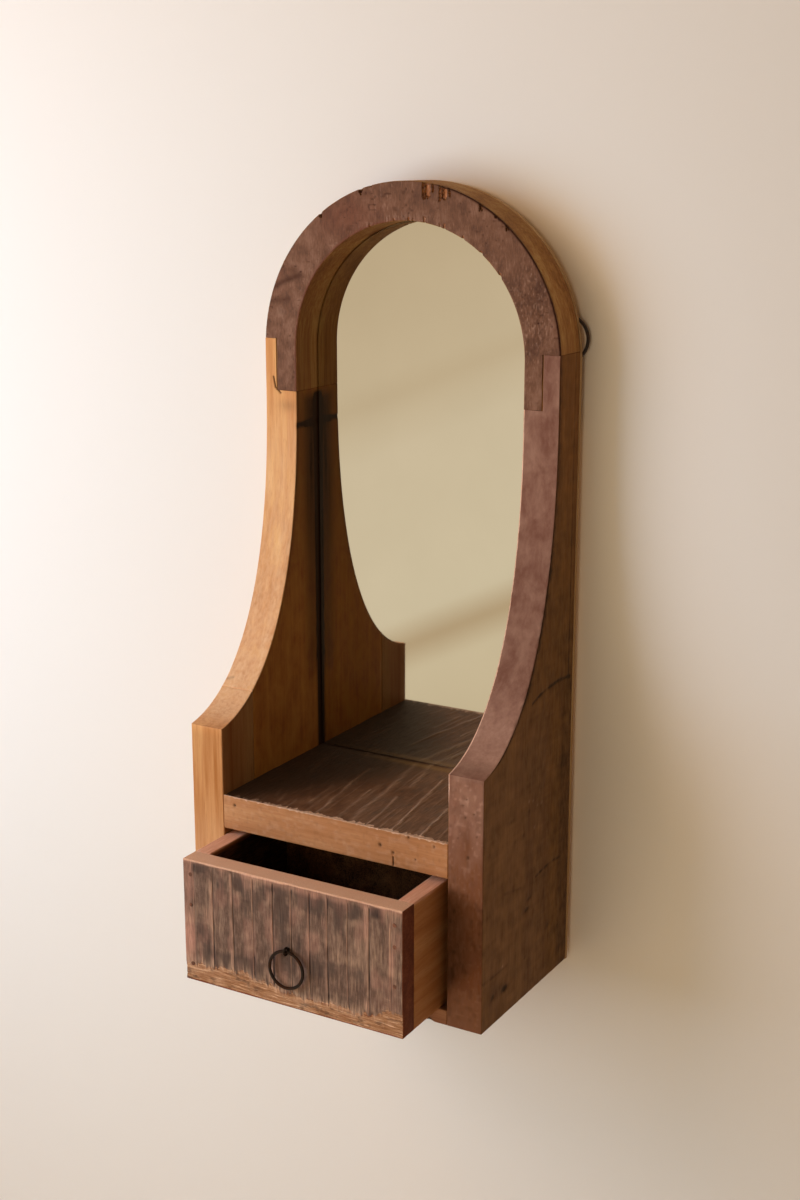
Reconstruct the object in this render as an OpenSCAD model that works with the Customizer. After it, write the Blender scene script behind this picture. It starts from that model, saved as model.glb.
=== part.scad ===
// Wall mirror of reclaimed boards, with an arched top, a shelf and a drawer.
// Millimetres. The origin is the middle of the underside. The front faces -Y and +Z is up.
// The drawer is drawn partly open.

/* [Carcass] */
// Overall width across the side boards
overall_w = 220; // [180:1:280]
// Overall height, from the underside to the top of the arch
overall_h = 520; // [500:1:640]
// Thickness of the side boards, and width of the arch band
board_t = 25; // [20:0.5:32]
// Depth of the side boards beside the drawer
side_d = 124; // [110:1:160]
// Depth of the arch and of the side boards just below it
arch_d = 29; // [20:0.5:45]
// Height at which the side boards start to sweep back
shoulder_h = 169; // [150:1:200]
// How far in front of the boards the sweep would start if it ran on
sweep_lead = 20; // [0:1:40]
// Fullness of the sweep, where 2 is an ellipse
sweep_power = 2.3; // [1.8:0.05:3]
// Width of the strip glued to the front of the left side board
front_strip_w = 36; // [25:1:50]

/* [Lap joints] */
// Length of the laps between the side boards and the arch
lap_len = 35; // [20:1:50]
// How far the laps reach above the spring of the arch
lap_rise = 6; // [0:0.5:12]
// Width of the left side board's tongue
left_tongue_w = 9; // [6:0.5:16]
// Width of the right side board's tongue
right_tongue_w = 12; // [6:0.5:16]

/* [Shelf, bottom and back] */
// Height of the shelf's upper face
shelf_top = 124; // [110:1:145]
// Thickness of the shelf
shelf_t = 24; // [16:0.5:30]
// Thickness of the bottom board
bottom_t = 10.5; // [8:0.5:16]
// Thickness of the back panel
back_t = 3; // [2.5:0.5:6]
// Thickness of the mirror glass
glass_t = 3; // [2:0.5:5]
// Gap left round the edge of the glass
glass_gap = 0.8; // [0.3:0.1:2]

/* [Hidden joinery] */
// Diameter of the shelf's dowels
shelf_dowel_dia = 8; // [6:0.5:10]
// Diameter of the bottom board's dowels
bottom_dowel_dia = 6; // [4:0.5:7]
// How deep a dowel goes into a side board
dowel_in_side = 14; // [8:1:17]
// How deep a dowel goes into the shelf or the bottom board
dowel_in_shelf = 20; // [12:1:30]
// Distance of the dowels from the middle of the depth
dowel_y = 38; // [30:1:44]
// Gap between a dowel, nail or screw and its hole
pin_fit = 0.05; // [0.02:0.01:0.1]
// Diameter of the back panel's brads
brad_dia = 1.4; // [1:0.1:2]
// Length of the back panel's brads
brad_len = 16; // [10:1:20]
// Diameter of the brads' heads
brad_head_dia = 3.2; // [2.6:0.1:4]
// Thickness of the brads' heads
brad_head_t = 0.7; // [0.4:0.1:1.2]
// Number of brads up each side board
brads_per_side = 4; // [3:1:6]
// Number of brads round the arch
brads_in_arch = 5; // [3:1:7]
// Height of the lowest brads in the side boards
brad_low = 30; // [18:1:40]

/* [Drawer] */
// Distance the drawer is drawn out
drawer_out = 47; // [0:1:85]
// Gap between the drawer and the left side board
gap_left = 0.6; // [0.4:0.1:4]
// Gap between the drawer and the right side board
gap_right = 4.9; // [0.4:0.1:6]
// Gap under the drawer
gap_under = 0.3; // [0.3:0.1:1]
// Gap between the drawer and the shelf
gap_over = 4.5; // [1:0.5:8]
// Free space behind the closed drawer
gap_behind = 10; // [4:1:20]
// Thickness of the drawer front
drawer_front_t = 14; // [10:0.5:18]
// Thickness of the drawer's sides and back
drawer_wall_t = 11.5; // [9:0.5:14]
// Thickness of the drawer's bottom panel
drawer_bottom_t = 5; // [3:0.5:6]
// How deep the bottom panel sits in the grooves
groove_depth = 4; // [3:0.5:6]
// Height of the bottom panel's underside above the drawer's lower edge
panel_lift = 4; // [2:0.5:8]
// Gap between the bottom panel and its grooves
panel_fit = 0.15; // [0.1:0.05:0.4]

/* [Sawn face of the drawer] */
// Distance between the saw kerfs down the drawer front
kerf_pitch = 14.7; // [10:0.1:24]
// Distance from the left end to the first kerf
kerf_first = 8.6; // [6:0.1:12]
// Width of a saw kerf
kerf_w = 0.9; // [0.5:0.1:2]
// Depth of a saw kerf
kerf_depth = 0.6; // [0.3:0.1:1.5]
// Height of the torn band below the kerfs
kerf_low = 9; // [6:1:20]
// Height of the smooth band above the kerfs
kerf_high = 3; // [2:0.5:8]

/* [Drawer nails] */
// Diameter of the drawer's nails
nail_dia = 1.8; // [1.4:0.1:2.6]
// Length of the nails through the front
front_nail_len = 34; // [24:1:40]
// Length of the nails through the sides
back_nail_len = 26; // [18:1:30]
// Diameter of the nail heads
nail_head_dia = 2.8; // [2.6:0.1:4.2]
// Thickness of the nail heads
nail_head_t = 0.9; // [0.5:0.1:1.4]

/* [Ring pull] */
// Diameter across the outside of the ring
ring_dia = 27.4; // [22:0.2:34]
// Diameter of the ring's wire
ring_wire = 2.2; // [1.6:0.1:2.8]
// Diameter of the split pin's wire
pin_wire = 1.6; // [1.2:0.1:2]
// Gap between the ring's wire and the eye
eye_gap = 0.35; // [0.2:0.05:0.6]
// Distance of the pin to the left of the drawer's middle
pin_left = 1; // [-10:0.5:10]
// Distance of the pin below the drawer's mid height
pin_drop = 2.6; // [0:0.2:8]
// Length of each turned-over leg inside the drawer
pin_leg = 9; // [5:0.5:12]

/* [Hangers] */
// Radius of the loop's bend, to the middle of its wire
loop_r = 14.8; // [12:0.1:18]
// Height of the bend's centre above the loop's bar
loop_lift = 10; // [8:0.5:10.5]
// How far the welded corners swell past the wire
weld_swell = 0.15; // [0.1:0.05:0.3]
// Diameter of the loop's wire
loop_wire = 2.2; // [1.8:0.1:2.6]
// Running gap between the loop's bar and the strap
loop_fit = 0.05; // [0.02:0.01:0.1]
// Distance of the hangers from the outside of the side boards
hanger_inset = 12.3; // [11:0.1:16]
// Height of the loop's bar above the spring of the arch
hanger_rise = 3; // [0:0.5:10]
// Width of the strap
strap_w = 14; // [11:0.5:15]
// Length of the strap below the loop's bar
strap_len = 47; // [44:1:60]
// Thickness of the strap's metal
strap_t = 1.1; // [0.8:0.1:1.5]
// Distance from the bar to the upper screw
upper_screw = 16; // [14:0.5:18]
// Distance from the bar to the lower screw
lower_screw = 38; // [30:1:38]
// Diameter of the hanger screws
screw_dia = 3.2; // [2.6:0.1:3.8]
// Length of the hanger screws
screw_len = 18; // [14:1:22]
// Diameter of the screw heads
screw_head_dia = 6.8; // [5.6:0.1:8]
// Height of the screw heads
screw_head_h = 2; // [1.4:0.1:2.6]

/* [Hidden] */
$fn = 96;
// Extra length on cutting shapes, so that they pass the face they cut
over = 1;
// How far the hole for a pin with this gap runs out past the pin's head
function mouth(gap) = gap > 0 ? over : 0;

// Places of the carcass
half_w = overall_w / 2;
inner_half_w = half_w - board_t;
front_y = -side_d / 2;
back_y = side_d / 2;
arch_y = back_y - arch_d;
spring_z = overall_h - half_w;
lap_top = spring_z + lap_rise;
lap_low = lap_top - lap_len;
wall_y = back_y + back_t;

// Places of the drawer
bay_h = shelf_top - shelf_t - bottom_t;
drawer_x0 = -inner_half_w + gap_left;
drawer_x1 = inner_half_w - gap_right;
drawer_w = drawer_x1 - drawer_x0;
drawer_z0 = bottom_t + gap_under;
drawer_h = bay_h - gap_under - gap_over;
drawer_y0 = front_y - drawer_out;
drawer_wall_y = drawer_y0 + drawer_front_t;
drawer_y1 = drawer_y0 + side_d - gap_behind;
drawer_back_y = drawer_y1 - drawer_wall_t;
panel_z = drawer_z0 + panel_lift;
back_low_z = panel_z + drawer_bottom_t + panel_fit;
back_h = drawer_z0 + drawer_h - back_low_z;
// Least distance between the last kerf and the right end
kerf_margin = 5;
kerf_count = 1 + floor((drawer_w - kerf_first - kerf_margin) / kerf_pitch);

// Heights of the nails as shares of the drawer's height, which a hand has spaced unevenly
left_nails = [0.14, 0.63, 0.88];
right_nails = [0.40, 0.71, 0.88];
back_nails = [0.30, 0.80];

// How far each kerf strays from its even place, as the saw has wandered
kerf_drift = [0, 0, 1, 2, 2.4, 1.7, 0.5, -0.7, -0.6, -0.1, 0.6];
function kerf_x(i) = drawer_x0 + kerf_first + i * kerf_pitch + kerf_drift[i % len(kerf_drift)];

// Places of the ring pull
pin_x = (drawer_x0 + drawer_x1) / 2 - pin_left;
pin_z = drawer_z0 + drawer_h / 2 - pin_drop;
ring_r = (ring_dia - ring_wire) / 2;
eye_r = ring_wire / 2 + eye_gap + pin_wire / 2;
pin_y = drawer_y0 - eye_r - pin_wire / 2;
// Radius of a leg as a share of the wire's diameter, a little less than half
pin_leg_share = 0.45;

// Places of the hangers
bar_z = spring_z + hanger_rise;
barrel_r = loop_wire / 2 + loop_fit + strap_t;
bar_y = wall_y + barrel_r;
strap_face_y = wall_y + 2 * strap_t;
bar_half = sqrt(loop_r * loop_r - loop_lift * loop_lift);
bow_angle = -asin(loop_lift / loop_r);

// Points of the sweep from the shoulder to the lap, as a stretched circle with a power
sweep_d = side_d - arch_d;
sweep_steps = 28;
lead_share = sweep_lead / (sweep_d + sweep_lead);
sweep_rise = (lap_low - shoulder_h) / pow(1 - pow(lead_share, sweep_power), 1 / sweep_power);
sweep_angle = acos(pow(lead_share, sweep_power / 2));
function sweep_point(a) = [
    front_y - sweep_lead + (sweep_d + sweep_lead) * pow(cos(a), 2 / sweep_power),
    lap_low - sweep_rise * pow(sin(a), 2 / sweep_power)
];
sweep = [for (i = [0 : sweep_steps]) sweep_point(sweep_angle * (1 - i / sweep_steps))];

// Brad places as [x, z], in the middle of the boards behind which they are driven
brad_x = half_w - board_t / 2;
brad_high = lap_low - 2 * brad_low;
brad_step = (brad_high - brad_low) / (brads_per_side - 1);
side_brads = [for (s = [-1, 1]) for (i = [0 : brads_per_side - 1])
    [s * brad_x, brad_low + i * brad_step]];
arch_brads = [for (i = [1 : brads_in_arch])
    [brad_x * cos(180 * i / (brads_in_arch + 1)), spring_z + brad_x * sin(180 * i / (brads_in_arch + 1))]];
shelf_brads = [for (s = [-1, 1]) for (z = [bottom_t / 2, shelf_top - shelf_t / 2])
    [s * inner_half_w / 2, z]];
brad_places = concat(side_brads, arch_brads, shelf_brads);

// A plate with a half-round top, standing in the XZ plane
module arched_plate(half, z0, y0, t) {
    translate([-half, y0, z0])
        cube([2 * half, t, spring_z - z0]);
    translate([0, y0, spring_z])
        rotate([-90, 0, 0])
            cylinder(r = half, h = t);
}

// A cylinder along X from x0
module rod_x(x0, y, z, r, len) {
    translate([x0, y, z])
        rotate([0, 90, 0])
            cylinder(r = r, h = len);
}

// A cylinder along Y from y0
module rod_y(x, y0, z, r, len) {
    translate([x, y0, z])
        rotate([-90, 0, 0])
            cylinder(r = r, h = len);
}

// The dowels at both ends of a board that spans the carcass, or their holes with a gap
module cross_dowels(z, dia, gap) {
    for (y = [-dowel_y, dowel_y]) {
        rod_x(-inner_half_w - dowel_in_side - gap, y, z, dia / 2 + gap,
            dowel_in_side + dowel_in_shelf + 2 * gap);
        rod_x(inner_half_w - dowel_in_shelf - gap, y, z, dia / 2 + gap,
            dowel_in_side + dowel_in_shelf + 2 * gap);
    }
}
module shelf_dowel_set(gap) {
    cross_dowels(shelf_top - shelf_t / 2, shelf_dowel_dia, gap);
}
module bottom_dowel_set(gap) {
    cross_dowels(bottom_t / 2, bottom_dowel_dia, gap);
}

// Brads from the back, with heads let in flush, or their holes with a gap
module brad_set(gap) {
    for (p = brad_places) {
        rod_y(p[0], wall_y - brad_len - gap, p[1], brad_dia / 2 + gap, brad_len);
        rod_y(p[0], wall_y - brad_head_t - gap, p[1], brad_head_dia / 2 + gap,
            brad_head_t + gap + mouth(gap));
    }
}

// Shanks of the hanger screws, or their holes with a gap
module screw_shanks(gap) {
    for (s = [-1, 1])
        for (drop = [upper_screw, lower_screw])
            rod_y(s * (half_w - hanger_inset), strap_face_y - screw_len - gap, bar_z - drop,
                screw_dia / 2 + gap, screw_len + gap + mouth(gap));
}

// Everything that is driven into the carcass, as holes
module carcass_holes() {
    shelf_dowel_set(pin_fit);
    bottom_dowel_set(pin_fit);
    brad_set(pin_fit);
    screw_shanks(pin_fit);
}

// The tongue of a side board beside the arch, rooted in the board below the lap
// s is -1 for left and 1 for right
module tongue(s, w) {
    intersection() {
        translate([s < 0 ? -half_w : half_w - w, arch_y, lap_low - over])
            cube([w, arch_d, lap_len + over]);
        arched_plate(half_w, 0, arch_y, arch_d);
    }
}

// A side board with its sweep and its tongue
module side_blank(s, tongue_w) {
    translate([s < 0 ? -half_w : inner_half_w, 0, 0])
        rotate([90, 0, 90])
            linear_extrude(board_t)
                polygon(concat([[back_y, lap_low], [back_y, 0], [front_y, 0]], sweep));
    tongue(s, tongue_w);
}

module left_side_board() {
    color("#6b4527") difference() {
        side_blank(-1, left_tongue_w);
        translate([-half_w - over, front_y - over, -over])
            cube([board_t + 2 * over, front_strip_w + over, overall_h]);
        carcass_holes();
    }
}

module left_front_strip() {
    color("#8a4a2c") difference() {
        intersection() {
            side_blank(-1, left_tongue_w);
            translate([-half_w, front_y, 0])
                cube([board_t, front_strip_w, overall_h]);
        }
        carcass_holes();
    }
}

module right_side_board() {
    color("#7d4f3d") difference() {
        side_blank(1, right_tongue_w);
        carcass_holes();
    }
}

module arch_top() {
    color("#77544a") difference() {
        intersection() {
            arched_plate(half_w, 0, arch_y, arch_d);
            translate([-half_w, arch_y, lap_low])
                cube([overall_w, arch_d, overall_h - lap_low]);
        }
        arched_plate(inner_half_w, 0, arch_y - over, arch_d + 2 * over);
        translate([-half_w - over, arch_y - over, lap_low - over])
            cube([left_tongue_w + over, arch_d + 2 * over, lap_len + over]);
        translate([half_w - right_tongue_w, arch_y - over, lap_low - over])
            cube([right_tongue_w + over, arch_d + 2 * over, lap_len + over]);
        carcass_holes();
    }
}

module shelf() {
    color("#9a6a45") difference() {
        translate([-inner_half_w, front_y, shelf_top - shelf_t])
            cube([2 * inner_half_w, side_d, shelf_t]);
        carcass_holes();
    }
}

module bottom_board() {
    color("#8d6042") difference() {
        translate([-inner_half_w, front_y, 0])
            cube([2 * inner_half_w, side_d, bottom_t]);
        carcass_holes();
    }
}

module mirror_glass() {
    color("silver")
        arched_plate(inner_half_w - glass_gap, shelf_top, back_y - glass_t, glass_t);
}

module back_panel() {
    color("#b08a5c") difference() {
        arched_plate(half_w, 0, back_y, back_t);
        brad_set(pin_fit);
        screw_shanks(pin_fit);
    }
}

module shelf_dowels() {
    color("#c9a877") shelf_dowel_set(0);
}

module bottom_dowels() {
    color("#c9a877") bottom_dowel_set(0);
}

module back_panel_brads() {
    color("#5b5650") brad_set(0);
}

// A strap folded round the loop's bar, with its lower end rounded
module hanger_strap(s) {
    x = s * (half_w - hanger_inset);
    color("#2b2724") difference() {
        union() {
            rod_x(x - strap_w / 2, bar_y, bar_z, barrel_r, strap_w);
            translate([x - strap_w / 2, wall_y, bar_z - strap_len + strap_w / 2])
                cube([strap_w, 2 * strap_t, strap_len - strap_w / 2]);
            rod_y(x, wall_y, bar_z - strap_len + strap_w / 2, strap_w / 2, 2 * strap_t);
        }
        rod_x(x - strap_w / 2 - over, bar_y, bar_z, loop_wire / 2 + loop_fit, strap_w + 2 * over);
        screw_shanks(pin_fit);
    }
}

module left_hanger_strap() {
    hanger_strap(-1);
}

module right_hanger_strap() {
    hanger_strap(1);
}

// Round-headed screws with a slot
module hanger_screws() {
    slot_w = screw_head_dia / 8;
    color("#4a4540") difference() {
        union() {
            screw_shanks(0);
            for (s = [-1, 1])
                for (drop = [upper_screw, lower_screw])
                    translate([s * (half_w - hanger_inset), strap_face_y, bar_z - drop])
                        rotate([-90, 0, 0])
                            screw_head();
        }
        for (s = [-1, 1])
            for (drop = [upper_screw, lower_screw])
                translate([s * (half_w - hanger_inset) - screw_head_dia / 2,
                    strap_face_y + screw_head_h / 2, bar_z - drop - slot_w / 2])
                    cube([screw_head_dia, screw_head_h, slot_w]);
    }
}

// A low dome on its flat face at z = 0
module screw_head() {
    head_r = screw_head_dia / 2;
    dome_r = (head_r * head_r + screw_head_h * screw_head_h) / (2 * screw_head_h);
    intersection() {
        cylinder(r = head_r, h = screw_head_h);
        translate([0, 0, screw_head_h - dome_r])
            sphere(r = dome_r);
    }
}

// A wire loop in the XZ plane: a straight bar and a wide bow, welded at the corners
module hanger_loop(s) {
    color("#2b2724")
        translate([s * (half_w - hanger_inset), bar_y, bar_z]) {
            rod_x(-bar_half, 0, 0, loop_wire / 2, 2 * bar_half);
            for (e = [-1, 1])
                translate([e * bar_half, 0, 0])
                    sphere(r = loop_wire / 2 + weld_swell);
            translate([0, 0, loop_lift])
                rotate([90, 0, 0])
                    rotate([0, 0, bow_angle])
                        rotate_extrude(angle = 180 - 2 * bow_angle)
                            translate([loop_r, 0])
                                circle(d = loop_wire);
        }
}

module left_hanger_loop() {
    hanger_loop(-1);
}

module right_hanger_loop() {
    hanger_loop(1);
}

// Nails through the drawer front into the ends of its sides, or their holes with a gap
module front_nail_set(gap) {
    front_nail_column(drawer_x0 + drawer_wall_t / 2, left_nails, gap);
    front_nail_column(drawer_x1 - drawer_wall_t / 2, right_nails, gap);
}
module front_nail_column(x, shares, gap) {
    for (share = shares) {
        z = drawer_z0 + share * drawer_h;
        rod_y(x, drawer_y0, z, nail_dia / 2 + gap, front_nail_len + gap);
        rod_y(x, drawer_y0 - mouth(gap), z, nail_head_dia / 2 + gap, mouth(gap) + nail_head_t + gap);
    }
}

// Nails through the drawer sides into the ends of its back, or their holes with a gap
module back_nail_set(gap) {
    y = drawer_back_y + drawer_wall_t / 2;
    for (share = back_nails) {
        z = drawer_z0 + share * drawer_h;
        rod_x(drawer_x0, y, z, nail_dia / 2 + gap, back_nail_len + gap);
        rod_x(drawer_x0 - mouth(gap), y, z, nail_head_dia / 2 + gap, mouth(gap) + nail_head_t + gap);
        rod_x(drawer_x1 - back_nail_len - gap, y, z, nail_dia / 2 + gap, back_nail_len + gap);
        rod_x(drawer_x1 - nail_head_t - gap, y, z, nail_head_dia / 2 + gap,
            nail_head_t + gap + mouth(gap));
    }
}

// Brads up through the bottom panel into the drawer back, or their holes with a gap
module bottom_brad_set(gap) {
    for (i = [-1, 0, 1])
        translate([(drawer_x0 + drawer_x1) / 2 + i * drawer_w / 3,
            drawer_back_y + drawer_wall_t / 2, panel_z]) {
            cylinder(r = brad_dia / 2 + gap, h = brad_len + gap);
            translate([0, 0, -mouth(gap)])
                cylinder(r = brad_head_dia / 2 + gap, h = mouth(gap) + brad_head_t + gap);
        }
}

// The bottom panel with a gap all round, so that it also cuts its own grooves
module bottom_panel_blank(gap) {
    translate([drawer_x0 + drawer_wall_t - groove_depth - gap, drawer_wall_y - groove_depth - gap,
        panel_z - gap])
        cube([drawer_w - 2 * drawer_wall_t + 2 * groove_depth + 2 * gap,
            drawer_y1 - drawer_wall_y + groove_depth + 2 * gap, drawer_bottom_t + 2 * gap]);
}

// The hole for the split pin's two legs
module pin_hole(gap) {
    rod_y(pin_x, drawer_y0 - over, pin_z, pin_wire + gap, drawer_front_t + 2 * over);
}

module drawer_front() {
    color("#6e5548") difference() {
        translate([drawer_x0, drawer_y0, drawer_z0])
            cube([drawer_w, drawer_front_t, drawer_h]);
        for (i = [0 : kerf_count - 1])
            translate([kerf_x(i) - kerf_w / 2, drawer_y0 - over, drawer_z0 + kerf_low])
                cube([kerf_w, kerf_depth + over, drawer_h - kerf_low - kerf_high]);
        bottom_panel_blank(panel_fit);
        front_nail_set(pin_fit);
        pin_hole(pin_fit);
    }
}

// A drawer side from x0, grooved for the bottom panel
module drawer_side(x0) {
    color("#a0683c") difference() {
        translate([x0, drawer_wall_y, drawer_z0])
            cube([drawer_wall_t, drawer_y1 - drawer_wall_y, drawer_h]);
        bottom_panel_blank(panel_fit);
        front_nail_set(pin_fit);
        back_nail_set(pin_fit);
    }
}

module drawer_left_side() {
    drawer_side(drawer_x0);
}

module drawer_right_side() {
    drawer_side(drawer_x1 - drawer_wall_t);
}

module drawer_back() {
    color("#8f5f3a") difference() {
        translate([drawer_x0 + drawer_wall_t, drawer_back_y, back_low_z])
            cube([drawer_w - 2 * drawer_wall_t, drawer_wall_t, back_h]);
        back_nail_set(pin_fit);
        bottom_brad_set(pin_fit);
    }
}

module drawer_bottom() {
    color("#b08a5c") difference() {
        bottom_panel_blank(0);
        bottom_brad_set(pin_fit);
    }
}

module drawer_front_nails() {
    color("#4f463f") front_nail_set(0);
}

module drawer_back_nails() {
    color("#4f463f") back_nail_set(0);
}

module drawer_bottom_brads() {
    color("#5b5650") bottom_brad_set(0);
}

// A split pin: an eye in front, two legs through the front, turned over inside
module ring_pin() {
    leg_r = pin_leg_share * pin_wire;
    leg_z = leg_r + pin_fit;
    leg_y0 = pin_y + sqrt(eye_r * eye_r - leg_z * leg_z);
    leg_y1 = drawer_wall_y + leg_r + pin_fit;
    color("#3a302a") {
        translate([pin_x, pin_y, pin_z])
            rotate([0, 90, 0])
                rotate_extrude()
                    translate([eye_r, 0])
                        circle(d = pin_wire);
        for (s = [-1, 1]) {
            rod_y(pin_x, leg_y0, pin_z + s * leg_z, leg_r, leg_y1 - leg_y0);
            translate([pin_x, leg_y1, pin_z + s * leg_z])
                sphere(r = leg_r);
            translate([pin_x, leg_y1, s < 0 ? pin_z - leg_z - pin_leg : pin_z + leg_z])
                cylinder(r = leg_r, h = pin_leg);
        }
    }
}

module ring_pull() {
    color("#2f2622")
        translate([pin_x, pin_y, pin_z - ring_r])
            rotate([90, 0, 0])
                rotate_extrude()
                    translate([ring_r, 0])
                        circle(d = ring_wire);
}

left_side_board();
left_front_strip();
right_side_board();
arch_top();
shelf();
bottom_board();
mirror_glass();
back_panel();
shelf_dowels();
bottom_dowels();
back_panel_brads();
left_hanger_strap();
right_hanger_strap();
hanger_screws();
drawer_front();
drawer_left_side();
drawer_right_side();
drawer_back();
drawer_bottom();
drawer_front_nails();
drawer_back_nails();
drawer_bottom_brads();
ring_pin();
ring_pull();
left_hanger_loop();
right_hanger_loop();
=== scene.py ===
import math

import bpy
import numpy as np
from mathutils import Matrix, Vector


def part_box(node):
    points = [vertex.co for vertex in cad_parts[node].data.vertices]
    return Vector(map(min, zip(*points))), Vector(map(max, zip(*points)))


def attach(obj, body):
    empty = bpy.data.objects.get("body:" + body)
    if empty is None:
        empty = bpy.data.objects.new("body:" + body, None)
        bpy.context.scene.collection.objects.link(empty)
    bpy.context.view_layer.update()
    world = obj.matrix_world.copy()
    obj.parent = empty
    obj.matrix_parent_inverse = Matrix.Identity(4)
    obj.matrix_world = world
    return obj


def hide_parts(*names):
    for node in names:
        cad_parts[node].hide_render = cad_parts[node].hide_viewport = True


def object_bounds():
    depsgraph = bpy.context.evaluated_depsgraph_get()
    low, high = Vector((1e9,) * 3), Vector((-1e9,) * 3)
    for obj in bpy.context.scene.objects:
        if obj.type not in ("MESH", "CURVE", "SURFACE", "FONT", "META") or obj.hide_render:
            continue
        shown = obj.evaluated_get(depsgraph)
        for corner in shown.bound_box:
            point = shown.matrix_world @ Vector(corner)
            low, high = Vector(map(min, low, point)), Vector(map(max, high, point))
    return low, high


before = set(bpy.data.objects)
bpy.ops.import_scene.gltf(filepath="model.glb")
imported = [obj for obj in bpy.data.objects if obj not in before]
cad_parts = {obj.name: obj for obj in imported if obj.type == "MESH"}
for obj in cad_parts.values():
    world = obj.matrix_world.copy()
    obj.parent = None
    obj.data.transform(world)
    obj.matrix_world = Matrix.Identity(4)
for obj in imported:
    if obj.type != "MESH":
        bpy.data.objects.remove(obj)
cad_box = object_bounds()
scene = bpy.context.scene


# Left side board: reclaimed teak, planed and oiled to a honey colour, band-sawn to a hollow sweep.
# Its tongue laps the outside of the arch. A narrower strip of the same wood is glued to its front
# edge below the sweep, and the fine glue line shows inside.
MM = 0.001
ARRIS = 0.55
ARRIS_POINTS = 5
END_TURNS = np.radians([84.0, 56.0, 28.0])
SHARP_ANGLE = math.radians(42)
SHOULDER = 169.0
SWEEP_LEAD = 20.0
SWEEP_POWER = 2.3
# A square step between two sections: how close they stand, and how far the nearer one is drawn in.
STEP = 0.02
STEP_INSET = 0.3
LEFT_TONGUE = 9.0


def piece_box(node):
    """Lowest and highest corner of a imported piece, in millimetres."""
    return [np.array(corner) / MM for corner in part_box(node)]


def mottle(p, q, seed):
    """Smooth noise from -1 to 1: random heights at whole-number places, eased from one to the next."""
    table = np.random.default_rng(seed).uniform(-1, 1, (64, 64))
    i, j = np.floor(p).astype(int), np.floor(q).astype(int)
    s, t = p - i, q - j
    s, t = s * s * (3 - 2 * s), t * t * (3 - 2 * t)
    low = table[i % 64, j % 64] * (1 - s) + table[(i + 1) % 64, j % 64] * s
    high = table[i % 64, (j + 1) % 64] * (1 - s) + table[(i + 1) % 64, (j + 1) % 64] * s
    return low * (1 - t) + high * t


def ease(value, low, high):
    """0 below low and 1 above high, with a smooth rise between them."""
    share = np.clip((value - low) / (high - low), 0, 1)
    return share * share * (3 - 2 * share)


def fade(value, low, high):
    """1 below low and 0 above high, with a smooth fall between them."""
    return ease(-value, -high, -low)


def bell(*offsets):
    """1 where all offsets are 0, falling as a bell curve to 0.37 where their squares add up to 1."""
    return np.exp(-sum(offset**2 for offset in offsets))


def spot(points, centre, size):
    """A soft mark: the bell curve of the offsets from its centre, in its sizes along X, Y and Z."""
    return bell(*((points - np.array(centre)) / np.array(size)).T).T


def line_mark(a, b, path, width):
    """A soft line: the bell curve of the least distance from the points (a, b) to the path's segments."""
    nearest = np.full(a.shape, 1e9)
    for (a0, b0), (a1, b1) in zip(path, path[1:]):
        da, db = a1 - a0, b1 - b0
        share = np.clip(((a - a0) * da + (b - b0) * db) / (da * da + db * db), 0, 1)
        nearest = np.minimum(nearest, np.hypot(a - a0 - share * da, b - b0 - share * db))
    return bell(nearest / width)


def section_walk(rows):
    """One walk round a board's section, as shares across it and outward directions.
    Each side has a row of shares between its corners. Each corner is a quarter turn: its shares
    stay at the corner and its direction turns. The sides face -v, +u, +v and -u."""
    corners = np.array([(0, 0), (1, 0), (1, 1), (0, 1)], float)
    shares, outward = [], []
    for side, row in enumerate(rows):
        start, end = corners[side], corners[(side + 1) % 4]
        facing = math.radians(90 * side - 90)
        turn = facing + np.linspace(0, math.pi / 2, ARRIS_POINTS)
        shares += [start + np.outer(row, end - start), np.tile(end, (ARRIS_POINTS, 1))]
        outward += [np.tile([math.cos(facing), math.sin(facing)], (len(row), 1)),
                    np.stack([np.cos(turn), np.sin(turn)], 1)]
    return np.concatenate(shares), np.concatenate(outward)


def read_points(points, outward):
    """X, Y and Z of points, how far each lies on an arris, and how far it faces -v, +u, +v and -u."""
    u, v = outward.T
    return *np.moveaxis(points, -1, 0), 4 * (u * v) ** 2, *(np.clip(way, 0, 1) for way in (-v, u, v, -u))


def even(count):
    """So many even shares between two corners, without the corners themselves."""
    return np.linspace(0, 1, count + 2)[1:-1]


def along(axis):
    """Places of a straight board: stations run along that axis, u and v along the other two in order."""
    def place(t, u, v):
        return [t, u, v] if axis == 0 else [u, t, v] if axis == 1 else [u, v, t]
    return place


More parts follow.
